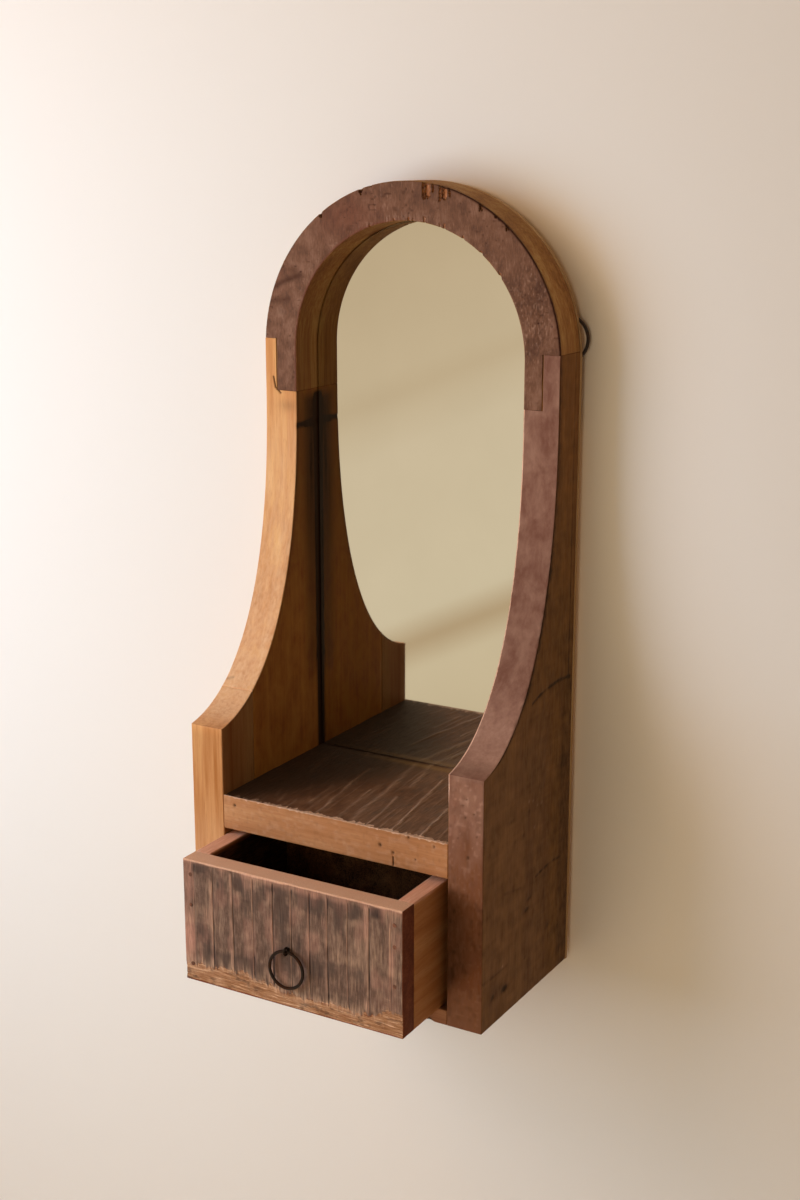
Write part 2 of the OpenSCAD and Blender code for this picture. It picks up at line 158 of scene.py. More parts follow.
def loft_board(name, stations, u_span, v_span, place, rows, wear, *finish):
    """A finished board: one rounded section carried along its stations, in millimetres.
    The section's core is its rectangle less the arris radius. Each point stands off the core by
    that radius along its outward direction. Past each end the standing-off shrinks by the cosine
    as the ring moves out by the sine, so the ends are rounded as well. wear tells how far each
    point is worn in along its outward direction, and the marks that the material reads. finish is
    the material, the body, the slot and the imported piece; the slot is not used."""
    stations = np.asarray(stations, float)
    u_span = np.broadcast_to(np.asarray(u_span, float), (len(stations), 2))
    v_span = np.broadcast_to(np.asarray(v_span, float), (len(stations), 2))
    inner = (stations > stations[0] + ARRIS + 0.1) & (stations < stations[-1] - ARRIS - 0.1)
    low, high = stations[0] + ARRIS, stations[-1] - ARRIS
    body = np.concatenate([[low], stations[inner], [high]])
    run = np.concatenate([low - ARRIS * np.sin(END_TURNS), body, high + ARRIS * np.sin(END_TURNS[::-1])])
    standoff = np.concatenate([np.cos(END_TURNS), np.ones(len(body)), np.cos(END_TURNS[::-1])])[:, None]
    ends = len(END_TURNS) + 1
    pick = np.concatenate([[0] * ends, np.flatnonzero(inner), [-1] * ends]).astype(int)
    u_span, v_span = u_span[pick], v_span[pick]
    width = np.minimum(np.ptp(u_span, axis=1), np.ptp(v_span, axis=1))
    core = np.minimum(ARRIS, 0.45 * width)[:, None]
    shares, outward = section_walk(rows)

    def across(span, axis, depth):
        room = span[:, 1:] - span[:, :1] - 2 * core
        return span[:, :1] + core + shares[:, axis] * room + (core * standoff - depth) * outward[:, axis]

    t = np.broadcast_to(run[:, None], (len(run), len(shares)))
    depth, marks = wear(np.stack(place(t, across(u_span, 0, 0), across(v_span, 1, 0)), -1), outward)
    points = np.stack(place(t, across(u_span, 0, depth), across(v_span, 1, depth)), -1)
    finish_piece(grid_piece(name, points, marks), *finish)


def new_piece(name, points, faces):
    """A smooth mesh at the origin, from points in millimetres and faces as lists of their numbers."""
    mesh = bpy.data.meshes.new(name)
    mesh.from_pydata((points.reshape(-1, 3) * MM).tolist(), [], faces)
    mesh.polygons.foreach_set("use_smooth", np.ones(len(mesh.polygons), bool))
    piece = bpy.data.objects.new(name, mesh)
    scene.collection.objects.link(piece)
    return piece


def grid_piece(name, points, marks):
    """A closed grid of rings, its two end rings filled and its faces turned outwards.
    Each mark is kept as an amount from 0 to 1 at every point."""
    rings, around = points.shape[:2]
    index = np.arange(rings * around).reshape(rings, around)
    onward = np.roll(index, -1, axis=1)
    quads = np.stack([index[:-1], onward[:-1], onward[1:], index[1:]], -1).reshape(-1, 4)
    flat = points.reshape(-1, 3)
    a, b, c, d = (flat[quads[:, k]] - flat.mean(0) for k in range(4))
    turn = 1 if (np.cross(a, b) * c + np.cross(a, c) * d).sum() > 0 else -1
    ends = [index[0][::-turn].tolist(), index[-1][::turn].tolist()]
    piece = new_piece(name, points, quads[:, ::turn].tolist() + ends)
    piece.data.set_sharp_from_angle(angle=SHARP_ANGLE)
    for mark, amount in marks.items():
        attribute = piece.data.attributes.new(mark, "FLOAT", "POINT")
        amount = np.broadcast_to(amount, (rings, around))
        attribute.data.foreach_set("value", np.clip(amount, 0, 1).astype(np.float32).ravel())
    return piece


def finish_piece(piece, material, body, slot, node):
    """Gives a piece its finish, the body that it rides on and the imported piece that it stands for."""
    piece.data.materials.append(material)
    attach(piece, body)
    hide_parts(node)


def srgb(code):
    """Linear red, green, blue and alpha of an sRGB hex colour."""
    part = np.array([int(code[i:i + 2], 16) for i in (1, 3, 5)]) / 255
    linear = np.where(part <= 0.04045, part / 12.92, ((part + 0.055) / 1.055) ** 2.4)
    return (*linear.tolist(), 1.0)


def set_sockets(tree, node, sockets):
    """Sets a node's inputs to fixed values or links, by name or number or simply in their order."""
    for key, value in sockets.items() if isinstance(sockets, dict) else enumerate(sockets):
        if isinstance(value, bpy.types.NodeSocket):
            tree.links.new(value, node.inputs[key])
        else:
            node.inputs[key].default_value = value


def add_node(tree, kind, sockets=(), output=0, stops=(), **settings):
    """Adds one node and gives one of its outputs. Sockets are fixed values or links, stops are the
    places and colours of a ramp, and settings are the node's other properties."""
    node = tree.nodes.new("ShaderNode" + kind)
    for key, value in settings.items():
        setattr(node, key, value)
    for at, colour in stops[1:-1]:
        node.color_ramp.elements.new(at)
    for number, stop in enumerate(stops):
        element = node.color_ramp.elements[number]
        element.position, element.color = stop
    set_sockets(tree, node, sockets)
    return node.outputs[output]


def new_material(name):
    """A new material, its node tree and its shader."""
    material = bpy.data.materials.new(name)
    material.use_nodes = True
    return material, material.node_tree, material.node_tree.nodes["Principled BSDF"]


def drawn(tree, width, length, axis, detail, rough=0.55, twist=0.0):
    """Noise with marks of a real width and, along one axis of the object, a real length in millimetres."""
    scale = [1 / (width * MM)] * 3
    scale[axis] = 1 / (length * MM)
    place = add_node(tree, "TexCoord", output="Object")
    vector = add_node(tree, "Mapping", {"Vector": place, "Scale": scale})
    return add_node(tree, "TexNoise", {
        "Vector": vector, "Scale": 1.0, "Detail": detail, "Roughness": rough, "Distortion": twist})


def tones(codes):
    """Colours at even places from 0 to 1, as the stops of a ramp."""
    return [(i / (len(codes) - 1), srgb(code)) for i, code in enumerate(codes)]


def reclaimed_wood(name, grain, wood, coat=None, raw=None, grime="#24120a", warm="#8a4a30", coat_grain=None,
                   patch=14.0, stretch=1.7, blotch=0.62, scratch=(0.8, 11.0), streak=1.8, lines=0.5,
                   fleck=0.3, smudge=0.8, chalk=0.35, roughness=0.68, relief=0.3, sheen=0.16):
    """Old sawn wood under what is left of its old surface.
    Wood bands, streaks and pores are noise drawn out along the grain, from real widths and lengths
    in millimetres. Where the piece's marks say so, a worn coat, a warm stain, raw torn fibre, pale
    rubbed wood and grime lie over it, each with an uneven edge. Some pieces' marks also lay painted
    light, painted shade and a painted glint into these layers."""
    coat_grain = grain if coat_grain is None else coat_grain
    coat, raw = coat or wood[:2], raw or wood[1:]
    material, tree, shader = new_material(name)
    bands = drawn(tree, 17.0, 260.0, grain, 3.0, 0.5, 0.5)
    streaks = drawn(tree, streak, 55.0, grain, 6.0, 0.65)
    pores = drawn(tree, 0.6, 9.0, grain, 2.0)
    fibres = drawn(tree, 0.7, 16.0, grain, 4.0, 0.7)
    patches = drawn(tree, patch, stretch * patch, coat_grain, 6.0, 0.62, 0.3)
    fine = drawn(tree, *scratch, coat_grain, 4.0, 0.6)
    flecks = drawn(tree, 1.1, 3.4, coat_grain, 3.0, 0.6)
    grained = add_node(tree, "Mix", {0: lines, 2: bands, 3: streaks})
    blotched = add_node(tree, "Mix", {0: 1 - blotch, 2: patches, 3: fine})
    smears = add_node(tree, "Mix", {0: 0.5, 2: patches, 3: fine})
    matt = add_node(tree, "Mix", {0: 0.4, 2: fine, 3: patches})

    # The colours of bare wood, coat and torn fibre: a ramp over the middle of a pattern's range.
    ramps = []
    for pattern, low, high, codes in (
            (grained, 0.36, 0.64, wood), (blotched, 0.37, 0.63, coat), (fibres, 0.32, 0.68, raw)):
        place = add_node(tree, "MapRange", [pattern, low, high])
        ramps.append(add_node(tree, "ValToRGB", [place], stops=tones(codes)))
    colour, coat_colour, raw_colour = ramps
    flecks = add_node(tree, "MapRange", [flecks, 0.63, 0.70, 0, fleck])
    coat_colour = add_node(tree, "Mix", {0: flecks, 6: coat_colour, 7: srgb(raw[0])}, 2, data_type="RGBA")

    # How much of each layer is left. Coat and torn fibre end where their own pattern is low. Stain,
    # rubbing and grime follow their marks unevenly, and so do the painted light, shade and glint that
    # some marks carry.
    pores = add_node(tree, "MapRange", [pores, 0.60, 0.68, 0, 0.4])
    marks = {label: add_node(tree, "Attribute", output="Fac", attribute_name=label)
             for label in ("coat", "warm", "raw", "pale", "grime")}
    left = {}
    for label, pattern, weight, low, high in (
            ("coat", patches, 0.9, 0.88, 1.0), ("raw", fibres, 0.8, 0.82, 1.06)):
        amount = add_node(tree, "Math", [pattern, weight, marks[label]], operation="MULTIPLY_ADD")
        left[label] = add_node(tree, "MapRange", [amount, low, high])
    for label, pattern, low, high, least, most in (
            ("warm", fine, 0.3, 0.7, 0.45, 0.95), ("pale", fine, 0.35, 0.65, chalk, 1.0),
            ("grime", smears, 0.35, 0.6, smudge, 1.15)):
        uneven = add_node(tree, "MapRange", [pattern, low, high, least, most])
        left[label] = add_node(tree, "Math", [marks[label], uneven], operation="MULTIPLY")
    for share, over in ((pores, srgb(wood[0])), (left["coat"], coat_colour), (left["warm"], srgb(warm)),
                        (left["raw"], raw_colour), (left["pale"], srgb(raw[-1])),
                        (left["grime"], srgb(grime))):
        colour = add_node(tree, "Mix", {0: share, 6: colour, 7: over}, 2, data_type="RGBA")

    height = 0.0
    for pattern, share in ((streaks, 0.35), (fine, 0.35), (pores, -0.625), (fibres, 0.35), (patches, 0.7)):
        height = add_node(tree, "Math", [pattern, share, height], operation="MULTIPLY_ADD")
    set_sockets(tree, shader, {
        "Base Color": colour, "Specular IOR Level": sheen,
        "Roughness": add_node(tree, "MapRange", [matt, 0.3, 0.7, roughness - 0.1, roughness + 0.12]),
        "Normal": add_node(tree, "Bump", {"Strength": 0.6, "Distance": relief * MM, "Height": height})})
    return material


side_low, side_high = piece_box("left_side_board")
strip_low, strip_high = piece_box("left_front_strip")
arch_low, arch_high = piece_box("arch_top")
front_y, back_y, seam_y, arch_y = strip_low[1], side_high[1], strip_high[1], arch_low[1]
outer_x, inner_x = side_low[0], side_high[0]
lap_low, lap_top = arch_low[2], side_high[2]
sweep_depth = arch_y - front_y
sweep_lead_share = SWEEP_LEAD / (sweep_depth + SWEEP_LEAD)
sweep_rise = (lap_low - SHOULDER) / (1 - sweep_lead_share**SWEEP_POWER) ** (1 / SWEEP_POWER)


def sweep_front(height):
    """Front face of a side board at a height: a quarter of a stretched circle with a power, cut off
    at the shoulder."""
    down = np.clip((lap_low - height) / sweep_rise, 0, 1)
    reach = (1 - down**SWEEP_POWER) ** (1 / SWEEP_POWER)
    return np.maximum(front_y - SWEEP_LEAD + (sweep_depth + SWEEP_LEAD) * reach, front_y)


def side_heights():
    """Heights of a side board's sections: even steps up the straight part and along the sweep, finer
    at the lap."""
    dense = np.linspace(SHOULDER, lap_low, 3000)
    length = np.concatenate([[0], np.cumsum(np.hypot(np.diff(dense), np.diff(sweep_front(dense))))])
    sweep = np.interp(np.arange(0, length[-1], 1.4), length, dense)
    return np.concatenate([
        np.arange(0, SHOULDER - 1, 1.1), sweep[sweep < lap_low - 6],
        np.arange(lap_low - 6, lap_low - 0.4, 0.6), [lap_low - STEP_INSET, lap_low, lap_low + STEP],
        np.arange(lap_low + 0.6, lap_low + 12, 0.6), np.arange(lap_low + 12, lap_top - 1, 1.5), [lap_top]])


def pair(low, high):
    """Spans from low to high, one for each station."""
    return np.stack(np.broadcast_arrays(low, high), -1)


def wear_left(points, outward):
    """Rubbed arrises, the crack that hooks round the foot of the lap, a dark stain with painted shade
    beside the glass, and painted light on the sweep.
    """
    x, y, z, arris, front, inner, _, _ = read_points(points, outward)
    crack = front * line_mark(x, z, [(-103.6, 390), (-102.2, 383), (-98, 379.3)], 0.55)
    nick = spot(points, (-85, y.min(), 358), (0.8, 200, 1.6)) * np.clip(outward @ (1, -1), 0, 1)
    tear = front * line_mark(x, z, [(-111, 189.5), (-104.5, 191)], 0.7)
    depth = arris * (0.16 + 0.12 * mottle(z / 11, x / 7, 3)) + 0.8 * crack + 0.5 * nick + 0.2 * tear
    # Below the lap the inner face darkens towards the glass: a dark stain with painted shade, and nearly
    # black painted shade in the corner at the glass.
    under_lap = inner * fade(z, lap_low - 8, lap_low)
    beside_glass = under_lap * ease(y, 34, 50) * (0.2 + 0.8 * ease(z, 165, 195))
    smudge = front * bell((x + 92) / 7, (z - 371) / 4)
    rim = inner * bell((y - sweep_front(z)) / 2.5) * ease(z, SHOULDER, SHOULDER + 10)
    glued = inner * bell((y - seam_y) / 0.5) * (z < SHOULDER + 60)
    grime = 0.4 * beside_glass + 0.9 * under_lap * ease(y, 53, 55.5) + 0.9 * crack
    grime += 0.8 * nick + 0.25 * smudge + 0.3 * tear + 0.25 * rim + 0.3 * glued
    grime += inner * (0.2 + 0.22 * fade(y, seam_y - 0.5, seam_y) + 0.27 * ease(z, 200, 330))
    grime += 0.14 * front * fade(z, SHOULDER - 8, SHOULDER)
    rosy = front * ease(z, SHOULDER - 4, SHOULDER + 10) * fade(z, 190, 290)
    # Painted light on the front of the sweep, which faces up: paler above the shoulder, most of all on its
    # lower part.
    lit = front * ease(z, SHOULDER - 2, SHOULDER + 6) * fade(z, 320, 400)
    lit = lit * (0.34 + 0.12 * mottle(x / 6, z / 40, 4)) * (1 + 0.6 * fade(z, 185, 215))
    crossing = ease(mottle(x / 1.3 + z / 8, z / 16, 5), 0.15, 0.8) * ease(z, 185, 192) * fade(z, 215, 240)
    pale = lit + front * (0.34 * fade(z, 60, 128) + 0.4 * arris + 0.25 * crossing)
    board = inner * ease(y, seam_y, seam_y + 0.5)
    return depth, {"grime": grime, "pale": pale, "warm": 0.7 * rosy, "coat": board}


# Honey teak, planed and oiled: broad soft bands with fine vertical streaks and a dull sheen.
honey_teak = reclaimed_wood(
    "honey_teak_planed_oiled", grain=2, wood=("#b4713a", "#d0915a", "#e6b070"),
    coat=("#a8642a", "#c4823c", "#d4964a"), raw=("#c98a55", "#ecc69c"), grime="#2a1406", warm="#d69a6e",
    streak=2.6, lines=0.36, scratch=(2.2, 60.0), fleck=0.0, smudge=0.95, roughness=0.6, relief=0.15)

heights = side_heights()
in_lap = heights > lap_low + STEP / 2
step_inset = np.where(np.isclose(heights, lap_low), STEP_INSET, 0.0)
left_inner = np.where(in_lap, LEFT_TONGUE - arch_high[0], inner_x - step_inset)
board_front = np.maximum(sweep_front(heights), seam_y)
loft_board("left_board", heights, pair(outer_x, left_inner), pair(board_front, back_y), along(2),
           [even(38), even(44), even(8), even(30)], wear_left,
           honey_teak, "carcass", "honey_board", "left_side_board")

strip_heights = np.append(heights[heights < strip_high[2]], strip_high[2])
strip_front = np.minimum(sweep_front(strip_heights), seam_y - 0.05)
loft_board("left_strip", strip_heights, (outer_x, inner_x), pair(strip_front, seam_y), along(2),
           [even(38), even(20), even(8), even(16)], wear_left,
           honey_teak, "carcass", "honey_board", "left_front_strip")


# Right side board: the same outline in one plank, its front edge still under rosy old paint.
# The outside is the old weathered face, dark and dented; it was left as found and oiled.
right_low, right_high = piece_box("right_side_board")
right_inner_x, right_outer_x = right_low[0], right_high[0]
RIGHT_TONGUE = 12.0
DENTS = [(0.5, 61, 3.8, 1.5, 0.65), (3.5, 67.5, 3.2, 1.1, 0.45), (-29.5, 18, 4.4, 2, 0.95),
         (-46.5, 18.7, 2.2, 1.8, 0.7), (33, 37.5, 2.6, 2.2, 0.4), (-1.3, 27.5, 1.6, 1.1, 0.4),
         (-24.5, 130, 3.8, 1.3, 0.3), (-18, 114.5, 2.2, 1.1, 0.25), (-7, 115, 1.6, 1.5, 0.3),
         (1, 129, 1.8, 1.1, 0.3), (-40, 20, 12, 9, 0.2)]
# Scratches: the points along each, and how strong it is.
SCRATCHES = [([(3, 200), (13, 203), (24, 204.4), (42, 205.8), (58, 204.4)], 0.95),
             ([(13, 79.5), (26, 81), (38, 81.5), (49, 80)], 0.6),
             ([(-32, 84), (-9.5, 79.5)], 0.3), ([(-62, 34), (-45, 33.2), (-27, 33)], 0.4)]
FLAKES = [(0.5, 135.5, 0.9), (6.5, 134, 0.9), (13, 129, 0.9), (19, 129, 0.9), (9, 115, 0.9), (-34, 35, 0.9)]
PITS = [(95.4, 150.5, 0.8), (103, 146.2, 0.7), (99.2, 117.2, 1), (97, 143, 0.6), (92, 129, 0.6),
        (105, 132, 0.5), (98, 155, 0.5)]


def blots(p, q, rows, power=2):
    """Soft marks in the plane of p and q, added up. Each row is a centre, a reach along p and along
    q, and an amount. A higher power makes them flatter, with steeper edges."""
    return sum(amount * np.exp(-np.abs((p - a) / ra) ** power - np.abs((q - b) / rb) ** power)
               for a, b, ra, rb, amount in rows)


def dots(p, q, rows):
    """Round soft marks in the plane of p and q, added up. Each row is a centre and a reach."""
    return blots(p, q, [(a, b, reach, reach, 1) for a, b, reach in rows])


def wear_right(points, outward):
    """Dents and scratches on the old outer face, pits in the front edge and a ragged outer arris, with
    painted shade behind that arris, the drawer's painted shadow and painted light on the front edge, and a
    painted highlight on the inner arris.
    """
    x, y, z, arris, front, outside, _, _ = read_points(points, outward)
    dents = blots(y, z, DENTS)
    scratches = np.zeros_like(x)
    for path, amount in SCRATCHES:
        broken = amount * (0.7 + 0.3 * mottle(y / 4, z / 20, 18))
        scratches = np.maximum(scratches, broken * line_mark(y, z, path, 0.95))
    pits = dots(x, z, PITS)
    rough = 0.5 + 0.5 * mottle(z / 4, y / 3, 11)
    chip = np.clip(mottle(z / 6, y / 9, 12) - 0.35, 0, 1)
    nibble = np.clip(mottle(z / 1.7, y / 2.4, 9), 0, 1) * ease(z, SHOULDER - 2, SHOULDER + 8)
    depth = arris * (0.14 + 0.16 * rough + (1.1 * chip + 0.9 * nibble) * outside)
    depth += outside * (0.55 * dents + 0.35 * scratches + 0.12 * rough) + front * 0.6 * pits

    low = front * fade(z + 9 * mottle(x / 7, z / 12, 16), 104, 148)
    below = front * fade(z, SHOULDER - 4, SHOULDER)
    behind_front = y - sweep_front(z)
    # Painted shade on the outer face just behind the front arris, where the rounded arris turns from the
    # light, as a warm dark line.
    rim = outside * bell(behind_front / (2.6 + 1.2 * mottle(z / 2.2, y / 3, 13)))
    rim *= ease(z, SHOULDER - 4, SHOULDER + 6)
    chewed = ease(x + 0.9 * mottle(z / 2.4, x / 2, 10), right_outer_x - 1.5, right_outer_x - 0.3)
    chewed *= ease(z, SHOULDER + 4, SHOULDER + 16) * fade(z, 270, 340)
    across = x - right_inner_x
    # The drawer's cast shadow, painted on the front edge beside it: from below the drawer's top down to
    # where light passes under it, fainter away from the drawer.
    painted_drawer_shadow = fade(z + 0.3 * across, 89, 99) * ease(z - across, 16, 32) * (1 - 0.38 * ease(across, 6, 20))
    dull = outside * fade(z, 150, 235) * fade(y, 15, 40)
    skin = 0.47 + 0.1 * mottle(y / 5, z / 7, 14) + 0.06 * mottle(y / 16 + z / 30, z / 2.4, 19)
    skin += 0.75 * np.maximum(dents, scratches) + 0.35 * bell((y - 55.8) / 0.7) * ease(z, 203, 206)
    skin += 0.1 * ease(y, 44, 49) * fade(z, 203, 206) - 0.16 * ease(y, 25, 50) * ease(z, 225, 290)
    skin += 0.1 * ease(y, 10, 50) - 0.1 * fade(y, -30, 10) - 0.2 * ease(z, 260, 400)
    grime = outside * skin + 0.3 * (1 - outside) * (1 - front) + 0.14 * low + 0.46 * rim + 0.1 * dull
    grime += front * (0.6 * pits + 0.2 * bell((z - SHOULDER - 2.5) / 2.2) + 0.45 * chewed + 0.46 * painted_drawer_shadow)
    grime += 0.1 * front * ease(z, 195, 225) * fade(z, 270, 320)
    worn_arris = ease(x, right_outer_x - 1.8, right_outer_x - 0.6) * ease(z, 90, 110)
    grime += below * (0.16 * ease(mottle(x / 3, z / 4, 15), 0.2, 0.8) + 0.3 * worn_arris)

    freckles = below * ease(mottle(x / 1.7, z / 2, 17), 0.3, 0.9) * (1 - 0.6 * low)
    pale = 0.16 * freckles + 0.06 * below * (1 - low) + 0.1 * dull + 0.55 * outside * dots(y, z, FLAKES)
    # Painted light on the front edge where the sweep faces up above the shoulder, and low down, below the
    # drawer's painted shadow.
    pale += front * (0.2 * ease(z, SHOULDER - 2, SHOULDER + 4) * fade(z, 182, 215) + 0.08 * fade(z, 20, 34))
    # A raw rubbed line down the inner front arris, which also stands in for the arris's highlight.
    raw_arris_and_highlight = np.clip(outward @ (-1, -1), 0, 1) * fade(across + 0.4 * rough, 0.6, 1.5)
    raw_arris_and_highlight *= fade(behind_front, 0.4, 1) * ease(z, SHOULDER - 40, SHOULDER)
    warm = low + 0.45 * below * (1 - low) + 0.5 * rim + 0.4 * outside * ease(z, 240, 400)
    return depth, {"coat": front * (1 - 0.25 * low) * (1 - 0.5 * arris), "grime": grime, "warm": warm,
                   "pale": pale, "raw": 0.9 * raw_arris_and_highlight}


# Teak under old rose paint: a chalky mauve-brown skin, rubbed thin, over brown wood. The outside is
# smoked dark.
rose_paint_teak = reclaimed_wood(
    "teak_under_old_rose_paint", grain=2, wood=("#784c20", "#8a5c2c", "#996a34"),
    coat=("#744c3d", "#865f4e", "#97705d"), raw=("#c99a7a", "#f4c2a6"), grime="#2e1a08", warm="#7a4828",
    patch=12.0, stretch=1.6, blotch=0.75, scratch=(2.6, 8.0), fleck=0.06, chalk=0.75, roughness=0.66,
    relief=0.2)

right_inner = np.where(in_lap, right_outer_x - RIGHT_TONGUE, right_inner_x + step_inset)
loft_board("right_board", heights, pair(right_inner, right_outer_x), pair(sweep_front(heights), back_y),
           along(2), [even(32), even(84), even(8), even(30)], wear_right,
           rose_paint_teak, "carcass", "painted_board", "right_side_board")


# Arch: one slab with upright grain, sawn to a half ring and lapped inside the side boards' tongues.
# Its face keeps the mauve paint, splintered where the saw left it. The sawn edges are bare and honey
# brown.
spring_z = arch_high[2] - arch_high[0]
arch_inner_r, arch_outer_r = -inner_x, arch_high[0]
LEG = lap_top - lap_low
half_turn = arch_outer_r * (math.pi / 2 - math.asin((lap_top - spring_z) / arch_outer_r))
arch_length = 2 * (LEG + half_turn)
# Splinters open at the outer arris: middle, half width and lowest point.
SPLINTERS = [(12.3, 0.5, 508.5), (15.4, 1.7, 509.8), (19.2, 0.4, 512.5), (24.4, 0.7, 507.5),
             (27.6, 1.5, 508.8), (31.2, 0.4, 510.5), (-33.9, 1.2, 511.4), (-26.6, 0.6, 515.6),
             (53.4, 1.1, 502.4), (64.5, 1.5, 497.5), (-64.7, 0.8, 496.2), (72, 1, 491)]
# The two groups of pale, fresh splinters stand about this place, and the ones further off are dark.
GROUP_X, GROUP_REACH = 22, 13
# Bites at the inner arris: middle, half width and how far they reach into the face.
BITES = [(1.5, 0.45, 3.6), (4.6, 0.3, 2), (13.2, 0.5, 4.4), (24.5, 0.4, 3), (27.5, 0.5, 3.4),
         (41, 0.5, 1.6), (53.8, 0.8, 2), (67.2, 0.7, 1.9), (-9, 0.4, 2.6), (-27, 0.4, 2.2)]
DIMPLES = [(-42, 489, 3, 2.2, 1), (-90.6, 412, 3.4, 3, 1), (-98.9, 404, 2.4, 2.8, 1),
           (-60, 474, 3, 3.6, 1), (-86, 462, 4, 3, 1), (-96, 434, 3, 2.2, 1)]


def arc_point(reach, radius):
    """X and Z of the band's edge of that radius, at a distance along it from its nearer foot: up the
    leg, then round."""
    rise = lap_low + np.minimum(reach, LEG)
    on_leg = np.sqrt(radius**2 - np.maximum(rise - spring_z, 0) ** 2)
    start = math.asin((lap_top - spring_z) / radius)
    angle = start + np.clip((reach - LEG) / half_turn, 0, 1) * (math.pi / 2 - start)
    up = reach > LEG
    return (np.where(up, radius * np.cos(angle), on_leg),
            np.where(up, spring_z + radius * np.sin(angle), rise))


def arched(t, u, v):
    """Stations run up the left leg, over and down the right; u is the radius and v runs back.
    A point lies on the straight line from the inner edge to the outer edge at its station."""
    side = np.where(t < arch_length / 2, -1.0, 1.0)
    reach = np.minimum(t, arch_length - t)
    x_in, z_in = arc_point(reach, arch_inner_r)
    x_out, z_out = arc_point(reach, arch_outer_r)
    share = (u - arch_inner_r) / (arch_outer_r - arch_inner_r)
    return side * (x_in + (x_out - x_in) * share), v, z_in + (z_out - z_in) * share


def wear_arch(points, outward):
    """Splinters along the upright grain at both front arrises, dimples, a rough patch, stained bands, and
    painted light on the right of the outer edge.
    """
    x, y, z, arris, front, outer, _, inner = read_points(points, outward)
    radius = np.where(z > spring_z, np.hypot(x, z - spring_z), np.abs(x))
    across = radius - arch_inner_r
    near_front = bell((y - arch_y) / 1.3)
    jag = 1.6 * mottle(x / 0.6, z / 40, 25)
    splinters = np.zeros_like(x)
    for a, half, low in SPLINTERS:
        within = fade(np.abs(x - a - 0.25 * mottle(z / 2.5, a, 26)), half - 0.1, half + 0.25)
        splinters = np.maximum(splinters, within * ease(z + jag, low - 0.3, low + 0.5))
    bites = np.zeros_like(x)
    for a, half, reach in BITES:
        beyond = across - reach * (0.7 + 0.4 * jag)
        within = fade(np.abs(x - a), half - 0.1, half + 0.3) * (z > spring_z)
        bites = np.maximum(bites, within * fade(beyond, -0.3, 0.4))
    dimples = blots(x, z, DIMPLES)
    rough = bell((x - 93) / 13, (z - 446) / 34)
    grit = mottle(x / 1.2, z / 1.9, 21)
    pits = ease(mottle(x / 2.3, z / 1.7, 27), 0.55, 0.85) * ease(mottle(x / 14, z / 11, 28), -0.2, 0.6)
    chips = np.clip(mottle(x / 2.6, z / 5, 22) - 0.25, 0, 1)
    depth = arris * (0.12 + 0.5 * chips) + near_front * (1.3 * splinters + bites)
    depth += front * (0.25 * pits + 0.45 * dimples + (0.35 * rough + 0.08) * np.clip(grit, 0, 1))

    band = line_mark(x, z, [(-106.8, 447.8), (-94, 454), (-81, 458.6)], 2.2)
    band = np.maximum(band, 0.7 * line_mark(x, z, [(-108, 440), (-90, 443)], 1.8))
    rim = outer * bell((y - arch_y) / 1.5) + front * bell((radius - arch_outer_r) / 0.9)
    rim *= ease(x, 14, 34) * ease(z, lap_low, lap_top)
    edges = np.clip(4 * splinters * (1 - splinters), 0, 1)
    slivers = ease(mottle(x / 0.5, z / 12, 24), -0.1, 0.5)
    lone = ease(np.abs(x - GROUP_X), GROUP_REACH, GROUP_REACH + 2)
    grime = front * (0.6 * band + 0.3 * dimples + 0.5 * rough * np.clip(0.3 - grit, 0, 1) + 0.5 * pits)
    # The outer edge has less grime towards the right: painted light there.
    grime += 1.1 * rim + 0.15 * inner + outer * (0.25 - 0.16 * ease(x, 60, 98))
    grime += near_front * (0.8 * edges + splinters * (0.55 * (1 - slivers) + 0.6 * lone))
    raw = 0.7 * arris * front * chips + near_front * (1.2 * splinters * (1 - 0.6 * lone) + bites)

    pale = ease(mottle(x / 0.8, z / 1.5, 23), 0.3, 0.8) * (0.4 * rough + 0.14 * bell((across - 3) / 4))
    pale += 0.3 * ease(mottle(x / 0.7, z / 6, 29), 0.5, 0.9) * bell((x + 8) / 26)
    pale += 0.4 * ease(mottle(x / 0.6, z / 9, 20), 0.25, 0.7) * fade(across, 2, 7) * bell((x + 2) / 24)
    pale += 0.22 * bell(across / 0.9) * ease(x, 60, 90)
    pale = front * pale + 0.35 * spot(points, (-97, arch_y, 433), (2.6, 9, 3))
    pale += 0.5 * near_front * bites * slivers
    warm = 0.6 * front * (bell((x + 42) / 26, (z - 497) / 14) + bell((x + 104) / 8, (z - 462) / 14))
    warm += fade(x, -18, 12) * bell(across / 1.3) * (front + 0.7 * near_front * (1 - front))
    coat = front * (0.72 - 0.7 * splinters)
    return depth, {"coat": coat, "grime": grime, "raw": raw, "pale": pale, "warm": warm}


# The arch's teak: a mauve-brown painted face with fine upright scratches over honey-brown sawn edges.
mauve_paint_teak = reclaimed_wood(
    "teak_slab_under_old_mauve_paint", grain=2, wood=("#82542a", "#a3713e", "#bb9156"),
    coat=("#5a3d2f", "#704d3a", "#85604c"), raw=("#6e3c1e", "#a5673d", "#cda288"), grime="#34190f",
    warm="#71402f", patch=10.0, stretch=1.3, blotch=0.7, scratch=(0.9, 4.0), fleck=0.12, roughness=0.66,
    relief=0.45)

